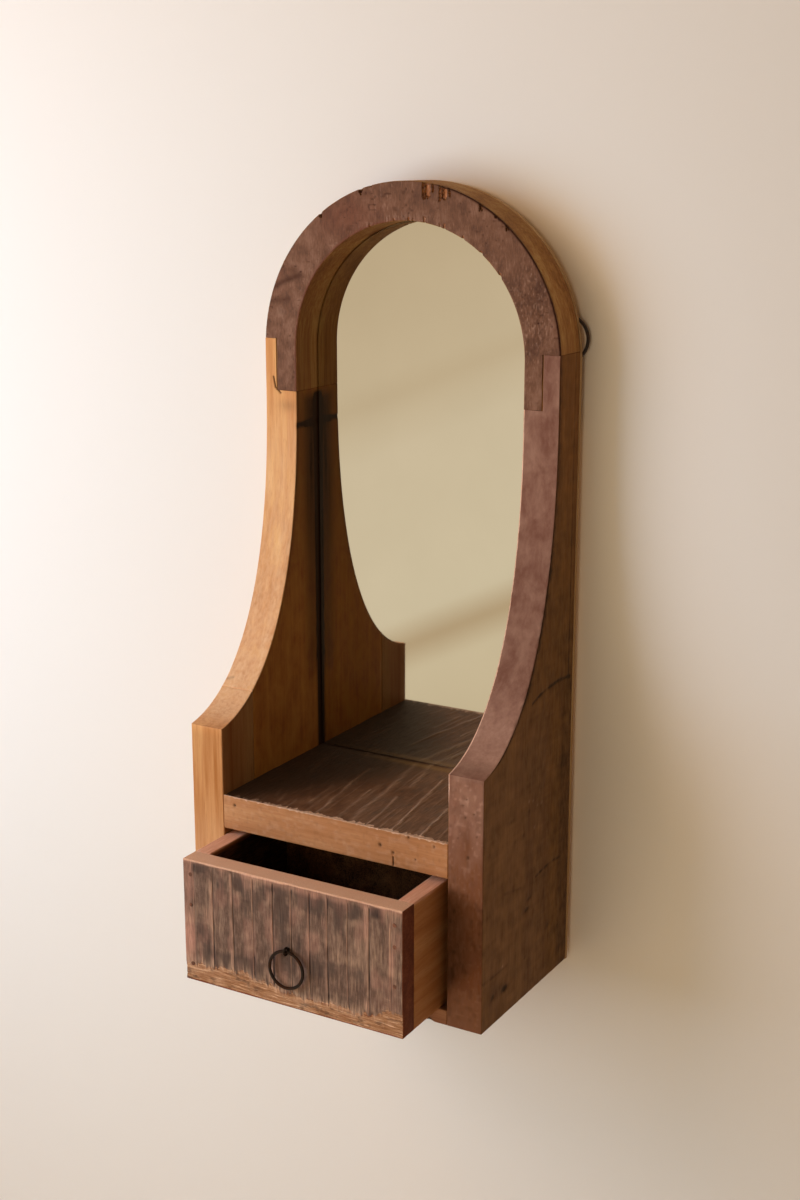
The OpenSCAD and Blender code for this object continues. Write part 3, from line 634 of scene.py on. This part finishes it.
legs = np.concatenate([np.arange(0, LEG - 0.5, 1.2), [LEG - STEP]])
over = np.arange(LEG, arch_length - LEG, 0.65)
over = np.concatenate([[LEG, LEG + 0.3], over[2:-2], [arch_length - LEG - 0.3, arch_length - LEG]])
arch_stations = np.concatenate([legs, over, arch_length - legs[::-1]])
shoulders = np.isclose(arch_stations, LEG) | np.isclose(arch_stations, arch_length - LEG)
arch_reach = arch_outer_r - np.where(shoulders, STEP_INSET, 0.0)
arch_reach[:len(legs)] = arch_outer_r - LEFT_TONGUE
arch_reach[-len(legs):] = arch_outer_r - RIGHT_TONGUE
loft_board("arch_slab", arch_stations, pair(arch_inner_r, arch_reach), (arch_y, back_y), arched,
           [even(58), even(16) ** 1.6, even(6), 1 - even(14)[::-1] ** 1.6], wear_arch,
           mauve_paint_teak, "carcass", "painted_board", "arch_top")


# Shelf: a thick offcut, its upper face the old furrowed weather side, its front edge freshly sawn.
# It is dowelled between the side boards; old nail holes and a short split show in the edge.
shelf_low, shelf_high = piece_box("shelf")
# Ridges between the furrows: points along each, its half width, and how far it stands out from the grime.
RIDGES = [
    ([(-13.8, -58), (-15.9, -40.2), (-19.1, -21), (-21.3, -9.8), (-24.5, 11), (-27, 30)], 1.3, 0.9),
    ([(12.5, -56), (10.7, -43.4), (8.6, -30.6), (6.5, -8.2), (3.3, 11), (0.6, 28.6), (-3.4, 52.6)], 2, 0.7),
    ([(25, -60), (23.5, -40.2), (21.4, -27.4), (17.4, -8.2)], 1.2, 1),
    ([(43.4, -60), (41.4, -40.2), (37.9, -22.6), (34.2, -1.8), (31.8, 15.8), (28.3, 35)], 1.3, 1),
    ([(64, -60), (61.4, -40.2), (58.7, -21), (56.6, -9.8)], 1.2, 1),
    ([(15.5, 14.2), (12.9, 27), (10.2, 41.4), (6.5, 59)], 1.8, 0.6),
    ([(2.2, -57.8), (-0.2, -40.2), (-2.1, -24.2), (-5.3, -5)], 1.1, 0.5),
    ([(-27.1, -46), (-29, -27.4), (-31.4, -11.4)], 1.4, 0.5), ([(-41.8, -24.2), (-44.2, -14.6)], 1.2, 0.35),
    ([(-59.4, 4.6), (-63.4, 22.2), (-66.6, 46.2)], 1.5, 0.35), ([(-42.6, 49.4), (-45.8, 59)], 1.5, 0.35),
    ([(-13, 35), (-16.2, 49.4)], 1.5, 0.4), ([(76, -56), (72.6, -38)], 1.1, 0.5),
    ([(-53, -46), (-57, -35.4)], 1.4, 0.4), ([(-46.6, -53), (-49.8, -40.2)], 1.4, 0.4),
    ([(48.5, 22), (46, 40), (44.5, 56)], 1.3, 0.4), ([(-36, -58), (-38, -44)], 1.2, 0.35)]
SHELF_HOLES = [(36.2, 112.7, 1.2), (45.7, 109.3, 1), (-76, 117.5, 0.9), (56.9, 122, 0.8), (62, 108, 0.6),
               (75.3, 119.5, 0.7)]


def box_board(name, node, axis, stations, rows, wear, *finish):
    """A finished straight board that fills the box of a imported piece, with stations along that axis.
    They are given as their places or as the step between them."""
    low, high = piece_box(node)
    if np.ndim(stations) == 0:
        stations = np.arange(low[axis], high[axis] + 0.1, stations)
    u, v = [other for other in range(3) if other != axis]
    loft_board(name, stations, (low[u], high[u]), (low[v], high[v]), along(axis), rows, wear, *finish, node)


def wear_shelf(points, outward):
    """Furrows between wandering ridges on the top, which notch the front arris, and holes in the edge; the
    left board's painted shadow on the top, painted light beyond it, and a painted glint at the glass.
    """
    x, y, z, arris, _, _, top, front = read_points(points, outward)
    wander = 0.5 * mottle(y / 8, x / 15, 36) + 0.25 * mottle(y / 3.5, x / 9, 31)
    ridges = np.zeros_like(x)
    for path, width, amount in RIDGES:
        swell = width * (1 + 0.3 * mottle(y / 9, x / 9, 38))
        broken = amount * (0.8 + 0.2 * mottle(y / 11, x / 12, 33))
        ridges = np.maximum(ridges, broken * line_mark(x + wander, y, path, swell))
    veins = ease(mottle((x + 0.1 * y) / 1.9, y / 34, 32), 0.35, 0.9)
    furrows = top * (0.7 * (1 - ridges) - 0.2 * veins + 0.12 * mottle(x / 2, y / 9, 34))
    holes = dots(x, z, SHELF_HOLES) + line_mark(x, z, [(45.7, 106.5), (45.9, 99.5)], 0.45)
    holes = front * 0.9 * np.clip(holes, 0, 1)
    bites = 0.5 + 0.5 * mottle(x / 1.9, y / 9, 35)
    torn = arris * top * (0.2 + 1.1 * bites * np.clip(mottle(x / 11, y / 9, 39) + 0.6, 0, 1))
    lip_reach = 2.7 + 1.8 * mottle(x / 1.4, 0.0, 45) + 1.3 * mottle(x / 5, 0.0, 46)
    lip = fade(y - lip_reach, shelf_low[1] - 0.5, shelf_low[1] + 0.5)
    lip *= ease(z - bites, shelf_high[2] - 2.2, shelf_high[2] - 1)
    depth = torn + holes + 0.15 * arris + furrows * (1 - lip) + top * lip * (0.5 + 0.5 * bites)

    open_top = top * (1 - lip)
    # Painted shadow of the left board over the back left of the top, which dims the ridges and darkens it;
    # painted light towards the back right and the front right.
    shade = ease(0.45 * (y + 62) - 50 - x + 6 * mottle(y / 25, x / 30, 44), -28, 26)
    pale = (0.7 * ridges + 0.14 * veins) * (0.7 + 0.3 * mottle(x / 20, y / 25, 40)) * (1 - 0.65 * shade)
    pale += 0.34 * ease(0.6 * x + y, -10, 90) + 0.12 * fade(y, -20, 2) * ease(x + 0.4 * y, -30, 5)
    pale = open_top * pale + 0.35 * lip * ease(mottle(x / 2.6, y / 1.5, 49), 0, 0.7)
    pale += 0.16 * front * ease(mottle(x / 3.1, z / 2.2, 43), 0.1, 0.8)
    # A painted yellow glint along the foot of the glass, carried as the warm mark.
    glow = top * bell((x + 2) / 36, (y - 54) / 3.4)
    grime = holes + 0.12 * front * ease(mottle(x / 2.2, z / 1.6, 42), 0.2, 0.9)
    grime += 0.84 * top * (1 - 0.5 * ridges) * shade * (1 - 0.35 * glow)
    grime += 0.3 * lip * ease(mottle(x / 1.6, y / 1.1, 47), 0.25, 0.8)
    return depth, {"coat": open_top, "pale": pale, "grime": grime, "warm": 1.5 * glow, "raw": 1.1 * lip}


# Sawn teak edge, orange brown and fibrous, with a dark brown weathered top. Its near black is the left
# board's painted shadow, and its warm yellow a painted glint at the glass.
furrowed_teak = reclaimed_wood(
    "teak_offcut_furrowed_by_weather", grain=0, coat_grain=1, wood=("#9a6239", "#b0774c", "#c28e60"),
    coat=("#422819", "#603c26", "#77533a"), raw=("#c09070", "#dcb799"), grime="#1c0d05", warm="#9a7430",
    patch=7.0, streak=1.8, lines=0.3, fleck=0.12, roughness=0.62, relief=0.3, sheen=0.42)

box_board("shelf_board", "shelf", 0, 0.5, [even(8), even(8), 1 - even(70)[::-1] ** 1.5, even(26)],
          wear_shelf, furrowed_teak, "carcass", "saw_board")


# Bottom board: a thin sawn board dowelled between the side boards, on which the drawer slides.
# A notch is split out of its front edge near the right end, and its top is darker.
def wear_floor(points, outward):
    """A rubbed front arris with one split-out notch, and a darkened top."""
    x, y, z, arris, _, _, top, front = read_points(points, outward)
    notch = spot(points, (72.3, front_y, 0), (2.2, 2.4, 2.6))
    depth = arris * (0.2 + 0.2 * mottle(x / 5, y / 5, 41)) + 1.4 * notch
    return depth, {"pale": 0.15 * front, "grime": 0.8 * notch + 0.35 * top}


# Sawn teak, salmon brown, with long fine fibres along the board.
salmon_teak = reclaimed_wood(
    "teak_board_sawn_salmon", grain=0, wood=("#6a3e28", "#835338", "#9c6d4e"), raw=("#a06a48", "#d09c76"),
    grime="#2c170c", streak=1.4, roughness=0.7)

box_board("floor_board", "bottom_board", 0, 1.0, [even(24), even(4), even(24), even(10)],
          wear_floor, salmon_teak, "carcass", "saw_board")


# Drawer front: an old plank whose weathered face was crossed by saw kerfs long before it was reused.
# Its top edge is freshly sanded, its foot is torn along the fibres, and nails hold it to the sides.
face_low, face_high = piece_box("drawer_front")
side_box = piece_box("drawer_left_side")
panel_box = piece_box("drawer_bottom")
PANEL_FIT = 0.15
groove_low, groove_high = panel_box[0] - PANEL_FIT, panel_box[1] + PANEL_FIT
# Kerfs: how far each strays from an even pitch, its strength, and the width of the pale strip on its left.
KERF_PITCH = 14.7
KERF_FIRST = 8.6
KERF_WIDTH = 1.0
KERF_DEPTH = 0.6
KERF_DRIFT = np.array([0, 0, 1, 2, 2.4, 1.7, 0.5, -0.7, -0.6, -0.1, 0.6])
KERF_CUT = np.array([0.35, 0.9, 0.9, 0.7, 1.0, 0.7, 0.8, 0.9, 0.6, 0.9, 0.35])
KERF_PALE = np.array([0.4, 2.2, 2.4, 0.8, 1.4, 0.8, 1.2, 1.6, 0.8, 3.2, 0.8])
kerfs = face_low[0] + KERF_FIRST + KERF_PITCH * np.arange(len(KERF_DRIFT)) + KERF_DRIFT
# Height of the torn edge at places along the front.
TORN_EDGE = [(-85, 11), (-73, 12), (-53, 14.7), (-33, 13.7), (-13, 9.6), (7, 7.9), (27, 9.6), (44, 8.4),
             (55, 9.5), (63, 13), (72, 15), (80, 16)]
CLOUDS = [(-53, 28.5, 19, 9.5, 1), (-33, 29, 15, 10, 0.9), (-8, 42, 10, 13, 0.8), (8, 47, 7, 10, 0.8),
          (-72, 91, 5.5, 3.5, 1.3), (-41, 87, 5, 6, 1), (-24, 84, 5, 7, 0.7), (-8, 79, 6, 12, 1),
          (-16, 91, 5, 4, 1), (30, 91, 8, 4, 0.9), (-70, 48, 9, 12, 0.75), (-34, 71, 10, 10, 0.5),
          (-9, 60, 8, 9, 0.6), (8, 68, 6, 9, 0.4), (8, 87, 7, 8, 1), (20, 84, 9, 8, 0.8),
          (35, 78, 5, 13, 0.9), (46, 87, 6, 7, 0.8), (22, 43, 12, 8, 0.7), (44, 46, 9, 8, 0.6),
          (30, 26, 20, 5, 0.6), (-54, 82, 5, 9, 0.6)]


def wear_face(points, outward):
    """Kerfs with a pale strip on their left, grey clouds drawn down the grain, a torn foot, a sanded
    top edge, and painted shade on the back face inside the drawer."""
    x, y, z, arris, _, back, _, front = read_points(points, outward)
    above, below_top = z - face_low[2], face_high[2] - z
    rise = above - np.interp(x, *zip(*TORN_EDGE)) - 1.8 * mottle(x / 1.1, z / 30, 54)
    rise -= 1.4 * mottle(x / 4, z / 60, 55)
    foot = fade(rise, -2.2, 3.2)
    offset = x + 0.3 * mottle(z / 22, x / 40, 53) - kerfs[:, None, None]
    nearest = np.abs(offset).argmin(0)
    offset = np.take_along_axis(offset, nearest[None], 0)[0]
    kerf = KERF_CUT[nearest] * (0.65 + 0.35 * mottle(z / 9, nearest * 3.7, 56)) * (1 - foot)
    kerf *= ease(below_top, 2, 4) * fade(np.abs(offset), 0.15, KERF_WIDTH / 2 + 0.2)
    strip = ease(offset, -KERF_PALE[nearest] - 0.7, -KERF_PALE[nearest]) * fade(offset, -0.7, -0.2)
    strip *= ease(mottle(z / 11, nearest * 2.9, 60), -0.75, 0.1) * (1 - foot) * ease(below_top, 1.5, 4)
    saw = np.clip(mottle(x / 0.8, z / 14, 57), 0, 1)
    fibre = 0.5 + 0.5 * mottle(x / 9, z / 1.1, 58)
    in_groove = (x > groove_low[0]) & (x < groove_high[0]) & (z > groove_low[2]) & (z < groove_high[2])
    depth = front * (KERF_DEPTH * kerf + 0.14 * saw * (1 - foot) + foot * (0.3 + 0.75 * fibre))
    depth += arris * (0.2 + 0.15 * mottle(x / 7, z / 5, 59) + front * fade(above, 1, 4) * fibre)
    depth += back * in_groove * (face_high[1] - panel_box[0][1])

    spill = front * fade(below_top - 3.5 * mottle(x / 9, z / 30, 75), 0.6, 5.2)
    sanded = fade(below_top - 0.4 * front * mottle(x / 9, z / 5, 65), 0.5, 1.3)
    blot = blots(x, z, [(61.4, 90.4, 4.4, 3.9, 1)], 4)
    cloud = blots(x, z, CLOUDS, 2.5) + 0.2 * mottle(x / 1.2, z / 10, 63) + 0.2 * mottle(x / 5, z / 6, 51)
    cloud = ease(cloud + 0.1 * mottle(x / 3, z / 1.5, 50), 0.3, 0.8)
    cloud = cloud * (0.8 + 0.2 * mottle(x / 0.8, z / 14, 48)) * (1 - 0.8 * strip)
    cloud = (cloud + 0.26 * ease(mottle(x / 0.8, z / 12, 64), 0.1, 0.6)) * (1 - 0.6 * spill) + 1.3 * blot
    scars = ease(mottle(x / 7, z / 2.2, 67) + 0.6 * mottle(x / 1.6, z, 70), 0.15, 0.8)
    grime = front * ((1 - foot) * (0.62 * cloud + 1.05 * kerf) + 0.55 * foot * scars) * (1 - sanded)

    low_right = bell((x - 70) / 11, (above - 20) / 9)
    rust = bell((x - 72.5) / 3) * ease(above, 22, 34) * (0.5 + 0.5 * mottle(z / 4, x / 3, 61))
    warm = 0.54 * fade(x, -78, -74) * bell((above - 30) / 14) + 0.36 * rust
    warm += 0.21 * ease(mottle(x / 6, z / 15, 66), 0.1, 0.7) + 0.24 * strip + 0.15 * low_right + 0.3 * spill
    warm += 0.22 * fade(x - 2.5 * mottle(z / 5, x / 3, 74), -81, -76)
    warm = front * (1 - foot) * warm + (1.3 - 0.35 * front) * sanded
    fringe = bell(rise / np.where(rise > 0, 5.5, 2.2)) * ease(mottle(x / 0.9, z / 7, 62), -0.6, 0.5)
    streaky = ease(mottle(x / 0.7, z / 13, 68), 0.2, 0.9) * (1 - foot)
    light = ease(mottle(x / 8, z / 9, 69), 0, 0.9) * (1 - np.clip(cloud, 0, 1))
    pale = 0.11 * strip + 0.62 * fringe * (1 - 0.7 * ease(x, 52, 66)) + 0.18 * light
    pale += (0.15 + 0.1 * ease(x, 20, 55)) * streaky + 0.2 * bell((x - 54) / 12, (above - 50) / 14)
    scuffs = ease(mottle(x / 5, z / 2.6, 72) + 0.5 * mottle(x / 1.2, z / 0.9, 73), 0, 0.7)
    pale = front * (pale * (1 - blot) + 0.18 * foot * scuffs)
    pale = pale * (1 - sanded) + sanded * (1 + 0.2 * fade(x, -75, -45))
    raw = front * (foot * (0.6 + 0.45 * fibre) + 0.42 * low_right * (1 - foot))
    right_end = ease(x, face_high[0] - 0.6, face_high[0] - 0.2)
    # The back face, inside the drawer, is darkened with painted shade.
    marks = {"coat": front * (1 - foot) * (1 - sanded), "grime": grime + 0.75 * back, "raw": raw,
             "pale": pale, "warm": warm}
    marks = {name: amount * (1 - right_end) for name, amount in marks.items()}
    marks["grime"] += 0.2 * right_end
    return depth, marks


# Grey-brown weathered teak: a faded skin in upright stripes over orange-brown fibre.
kerfed_teak = reclaimed_wood(
    "teak_plank_kerfed_and_weathered", grain=0, coat_grain=2, wood=("#5c2a16", "#743920", "#8a4a2c"),
    coat=("#523c31", "#6b5244", "#846957"), raw=("#764a30", "#936443", "#a97a55", "#e2b692"),
    grime="#2e2726", warm="#da9a80", patch=4.0, blotch=0.5, scratch=(0.55, 8.0), streak=1.4, fleck=0.15,
    smudge=0.5, roughness=0.74, relief=0.3)


def beside_groove(axis):
    """A pair of places at each edge of the panel's groove, so that its sides stay square."""
    return np.add.outer((groove_low[axis], groove_high[axis]), (-STEP, STEP)).ravel()


def with_groove(count, low, high):
    """Even shares up a wall, with a pair at each edge of the panel's groove."""
    return np.unique(np.concatenate([even(count), (beside_groove(2) - low) / (high - low)]))


near_kerf = np.array([-1.6, -1.1, -0.75, -0.5, -0.2, 0.2, 0.5, 0.75, 1.1, 1.6])
face_stations = np.arange(face_low[0], face_high[0] + 0.01, 0.9)
near = np.abs(face_stations[:, None] - kerfs).min(1) < 1.9
face_stations = np.unique(np.concatenate([
    face_stations[~near], (kerfs[:, None] + near_kerf).ravel(), beside_groove(0), [face_high[0]]]))
box_board("drawer_face", "drawer_front", 0, face_stations,
          [even(10), with_groove(20, face_low[2], face_high[2]), even(14), even(124)],
          wear_face, kerfed_teak, "drawer", "dark_board")


# Drawer sides and back: honey teak boards, butted and nailed; their upper edges are sanded salmon.
# A groove along the inside of each side holds the bottom panel.
def wear_wall(points, outward):
    """Sanded upper edges, rubbed arrises, the groove for the bottom panel, and painted shade on the inside
    faces.
    """
    x, y, z, arris = read_points(points, outward)[:4]
    inside = np.clip(-outward[:, 0] * np.sign(x), 0, 1)
    groove = inside * (z > groove_low[2]) * (z < groove_high[2])
    depth = arris * (0.15 + 0.15 * mottle(y / 8, z / 8, 71)) + groove * (side_box[1][0] - groove_low[0])
    sanded = ease(z, face_high[2] - 1.2, face_high[2] - 0.3)
    # The inside faces are darkened with painted shade from the drawer's hollow.
    return depth, {"raw": 0.8 * sanded, "grime": (0.78 * inside + 0.16) * (1 - sanded)}


def wear_tail(points, outward):
    """Rubbed arrises, a sanded upper edge, and painted shade over the rest."""
    _, _, z, arris = read_points(points, outward)[:4]
    sanded = ease(z, face_high[2] - 1.2, face_high[2] - 0.3)
    # Below the sanded edge the board is darkened with painted shade.
    return 0.2 * arris, {"raw": 0.8 * sanded, "grime": 0.88 * (1 - sanded)}


# The drawer's teak: honey brown with lines along the boards, darkened inside with painted shade.
drawer_teak = reclaimed_wood(
    "teak_drawer_board", grain=1, wood=("#a76738", "#bc7b47", "#ce925b"), raw=("#d29272", "#eab494"),
    streak=2.8, lines=0.3, roughness=0.62, relief=0.2)

for hand in ("left", "right"):
    grooved_row = with_groove(24, side_box[0][2], side_box[1][2])
    right_row, left_row = (grooved_row, even(24)) if hand == "left" else (even(24), grooved_row)
    box_board("drawer_wall_" + hand, f"drawer_{hand}_side", 1, 2.0,
              [even(6), right_row, even(10), 1 - left_row[::-1]],
              wear_wall, drawer_teak, "drawer", "honey_board")

tail_teak = drawer_teak.copy()
tail_teak.name = "teak_drawer_back"
box_board("drawer_tail", "drawer_back", 0, 2.0, [even(8), even(20), even(8), even(20)],
          wear_tail, tail_teak, "drawer", "honey_board")


# Ring pull and split pin: soft iron wire, bent cold, blackened by handling, with brown rust in patches.
# The ring's ends butt together beside the eye.
ring_low, ring_high = piece_box("ring_pull")
ring_centre = (ring_low + ring_high) / 2
wire_r = (ring_high[1] - ring_low[1]) / 2
ring_r = (ring_high[0] - ring_low[0]) / 2 - wire_r
BUTT_ANGLE = math.radians(62)


def bent_ring():
    """A torus whose wire swells and thins by a few hundredths and is pinched at its butt joint."""
    turn = np.linspace(0, 2 * math.pi, 160, endpoint=False)[:, None]
    roll = np.linspace(0, 2 * math.pi, 20, endpoint=False)[None, :]
    pinch = bell((turn - BUTT_ANGLE) * ring_r / 0.28)
    radius = wire_r * (0.95 + 0.03 * np.sin(3 * turn + 1) + 0.02 * np.sin(11 * turn) - 0.3 * pinch)
    out = ring_r + 0.12 * np.sin(2 * turn) - 0.12 + radius * np.cos(roll)
    return ring_centre + np.stack([out * np.cos(turn), radius * np.sin(roll), out * np.sin(turn)], -1)


def closed_tube(name, points):
    """A grid that closes on itself both ways."""
    index = np.arange(points[..., 0].size).reshape(points.shape[:2])
    onward = np.roll(index, -1, axis=1)
    quads = np.stack([index, onward, np.roll(onward, -1, axis=0), np.roll(index, -1, axis=0)], -1)
    return new_piece(name, points, quads.reshape(-1, 4).tolist())


def wrought_metal(name, dark, light, rust, metallic, roughness, scale):
    """Hand-worked metal: dark and light tones in a fine mottle, and rust in patches of a broader one."""
    material, tree, shader = new_material(name)
    fine = drawn(tree, scale, scale, 0, 5.0, 0.6)
    broad = drawn(tree, 5 * scale, 5 * scale, 0, 3.0, 0.5)
    tone = add_node(tree, "ValToRGB", [fine], stops=tones((dark, light)))
    rusty = add_node(tree, "MapRange", [broad, 0.5, 0.62])
    set_sockets(tree, shader, {
        "Base Color": add_node(tree, "Mix", {0: rusty, 6: tone, 7: srgb(rust)}, 2, data_type="RGBA"),
        "Metallic": metallic,
        "Roughness": add_node(tree, "MapRange", [fine, 0, 1, roughness - 0.1, roughness + 0.15]),
        "Normal": add_node(tree, "Bump", {"Strength": 0.5, "Distance": 0.1 * MM, "Height": fine})})
    return material


# Blackened iron wire: nearly black with a soft grey glint and traces of brown.
black_iron = wrought_metal("iron_wire_blackened", "#1d1714", "#3a302c", "#3d2417", 0.85, 0.45, 1.2)
# Old wire nails and screws: dull grey steel with brown rust.
dull_steel = wrought_metal("steel_old_nail", "#3a332e", "#6e665e", "#5a3524", 0.9, 0.5, 0.8)
# Nail heads filed flush in the weathered face: rust brown, close to the wood's own colour.
rusty_steel = wrought_metal("steel_nail_rusted", "#4a2c20", "#744c3a", "#80503a", 0.2, 0.7, 0.6)

finish_piece(closed_tube("pull_ring", bent_ring()), black_iron, "drawer_ring", "black_iron", "ring_pull")


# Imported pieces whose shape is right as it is: they only take their finish.
# The mirror is silvered glass; the back is thin plywood; dowels are turned beech.
def silvered_glass():
    """Plain mirror glass: silver behind float glass, which greys and warms it a little."""
    material, tree, shader = new_material("mirror_glass_silvered")
    haze = drawn(tree, 60.0, 60.0, 0, 3.0, 0.5)
    colour = add_node(tree, "ValToRGB", [haze], stops=tones(("#d3cfc1", "#dcd8cb")))
    set_sockets(tree, shader, {"Base Color": colour, "Metallic": 1.0, "Roughness": 0.03})
    return material


# Thin plywood: pale, with broad soft bands, rough on the back.
pale_ply = reclaimed_wood(
    "plywood_back_pale", grain=2, wood=("#97734c", "#b08d64", "#c2a27a"), streak=3.0, roughness=0.75,
    relief=0.12)
# The same plywood, brown and dim: painted shade inside the drawer.
drawer_shade_ply = reclaimed_wood(
    "plywood_drawer_bottom_dusty", grain=0, wood=("#4e351f", "#614328", "#745433"), streak=3.0,
    roughness=0.8, relief=0.12)
# Beech dowel: pale and even, with short fine flecks along it.
beech = reclaimed_wood(
    "beech_dowel_turned", grain=0, wood=("#b98f5e", "#cfa878", "#dcb98c"), streak=1.0, roughness=0.6,
    relief=0.1)
for material, nodes in (
        (silvered_glass(), ["mirror_glass"]), (pale_ply, ["back_panel"]), (drawer_shade_ply, ["drawer_bottom"]),
        (beech, ["shelf_dowels", "bottom_dowels"]), (rusty_steel, ["drawer_front_nails"]),
        (dull_steel, ["back_panel_brads", "hanger_screws", "drawer_back_nails", "drawer_bottom_brads"]),
        (black_iron, ["left_hanger_strap", "right_hanger_strap", "left_hanger_loop", "right_hanger_loop",
                      "ring_pin"])):
    for node in nodes:
        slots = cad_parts[node].material_slots
        if slots:
            slots[0].material = material
        else:
            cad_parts[node].data.materials.append(material)


# Stage: a plain cream wall just behind the hanging mirror, and a pale floor far below.
# The wall is seen from the front only, and keeps no light from the back of the object.
WALL_GAP = 0.0015
wall_y = cad_box[1][1] + WALL_GAP
FLOOR_Z = -0.62
ROOM = 3.2


def stage_plane(name, start, end, colour, one_sided):
    """A flat matt rectangle between two opposite corners, and open from behind if it is one-sided."""
    corners = [start, (end[0], *start[1:]), end, (start[0], *end[1:])]
    plane = new_piece(name, np.array(corners) / MM, [[0, 1, 2, 3]])
    material, tree, shader = new_material("plaster_" + name)
    set_sockets(tree, shader, {"Base Color": srgb(colour), "Roughness": 0.9, "Specular IOR Level": 0.1})
    if one_sided:
        behind = add_node(tree, "NewGeometry", output="Backfacing")
        clear = add_node(tree, "BsdfTransparent")
        both = add_node(tree, "MixShader", [behind, shader.outputs[0], clear])
        set_sockets(tree, tree.nodes["Material Output"], [both])
    plane.data.materials.append(material)
    plane.visible_glossy = False
    return plane


wall = stage_plane("wall", (-ROOM, wall_y, FLOOR_Z), (ROOM, wall_y, ROOM), "#e9e1d6", True)
wall.visible_shadow = False
stage_plane("floor", (-ROOM, -ROOM, FLOOR_Z), (ROOM, ROOM, FLOOR_Z), "#e3d8ca", False)


# Light: a cool soft window on the left with a warm lamp above it, the warm room in front, and a lamp
# behind. The room shows as plain beige in the mirror, with the soft edges of its far wall and ceiling.
def soft_lamp(name, place, width, height, watts, colour):
    """A rectangular lamp at a place, turned to the middle of the object."""
    data = bpy.data.lights.new(name, "AREA")
    data.shape, data.size, data.size_y, data.energy = "RECTANGLE", width, height, watts
    data.color = srgb(colour)[:3]
    lamp = bpy.data.objects.new(name, data)
    scene.collection.objects.link(lamp)
    lamp.location = place
    x, y, z = np.array(place) - OBJECT_MIDDLE
    lamp.rotation_euler = (math.atan2(math.hypot(x, y), z), 0, math.atan2(x, -y))
    lamp.visible_glossy = False


OBJECT_MIDDLE = (0.0, 0.0, 0.27)
soft_lamp("window_lamp", (-0.72, -0.68, 0.38), 0.8, 0.75, 10.2, "#c3e0ff")
soft_lamp("upper_lamp", (-0.95, -0.9, 1.15), 0.8, 0.8, 7.6, "#ffd0a7")
soft_lamp("room_lamp", (-0.1, -1.95, 0.3), 1.6, 1.6, 15.9, "#ffe8c3")
soft_lamp("rear_lamp", (0.4, 1.7, 1.1), 1.4, 1.4, 14.0, "#ffe6c6")

ROOM_SLANT = (-0.41, 0.02, 0.91)
ROOM_EDGES = [(0.0, "#e0ceb0"), (0.22, "#e9d9bd"), (0.27, "#cdb594"), (0.32, "#eddfc6"), (0.62, "#ecdcc3"),
              (0.68, "#e6d4b9"), (0.72, "#dfcbae"), (0.76, "#e3d0b4"), (1.0, "#dbc6a8")]
# The room's corner behind the object on the right is in shade, so the side that faces it gleams less.
DIM_CORNER = (0.75, 0.66, 0.0)
world = bpy.data.worlds.new("room")
scene.world = world
world.use_nodes = True
tree = world.node_tree
to_camera = add_node(tree, "LightPath", output="Is Camera Ray")
in_mirror = add_node(tree, "LightPath", output="Is Glossy Ray")
direction = add_node(tree, "TexCoord", output="Generated")
slant = add_node(tree, "VectorMath", [direction, ROOM_SLANT], "Value", operation="DOT_PRODUCT")
slant = add_node(tree, "MapRange", [slant, -0.15, 0.15])
room = add_node(tree, "ValToRGB", [slant], stops=[(at, srgb(code)) for at, code in ROOM_EDGES])
dusk = add_node(tree, "VectorMath", [direction, DIM_CORNER], "Value", operation="DOT_PRODUCT")
dusk = add_node(tree, "MapRange", [dusk, 0.1, 0.8])
# The mirror sees the room, darker towards its corner. The camera sees a pale wall past the stage,
# and everything else is lit by the even light of the room.
seen = srgb("#ffdcb4")
room = add_node(tree, "Mix", {0: dusk, 6: room, 7: srgb("#a08a6c")}, 2, data_type="RGBA")
for ray, view in ((to_camera, srgb("#efe6db")), (in_mirror, room)):
    seen = add_node(tree, "Mix", {0: ray, 6: seen, 7: view}, 2, data_type="RGBA")
bright = add_node(tree, "Math", [to_camera, in_mirror], operation="MAXIMUM")
strength = add_node(tree, "MapRange", [bright, 0, 1, 0.04, 1.03])
set_sockets(tree, tree.nodes["Background"], {"Color": seen, "Strength": strength})
scene.view_settings.view_transform = "Standard"


# Camera: stands to the right of the object and looks a little down on it, as the photograph was taken.
# Its place and angles come from a fit to the object's straight edges; the image is 800 x 1200.
IMAGE_HEIGHT = 1200
FOCAL_PIXELS = 1747.93
CAMERA_PLACE = (0.56641, -0.94812, 0.53834)
CAMERA_TURN = 30.1926
CAMERA_DIP = 14.422

lens = bpy.data.cameras.new("camera")
lens.sensor_width = 36.0
lens.lens = lens.sensor_width * FOCAL_PIXELS / IMAGE_HEIGHT
lens.clip_start = 0.01
camera = bpy.data.objects.new("camera", lens)
scene.collection.objects.link(camera)
camera.location = CAMERA_PLACE
camera.rotation_euler = (math.radians(90 - CAMERA_DIP), 0, math.radians(CAMERA_TURN))
scene.camera = camera
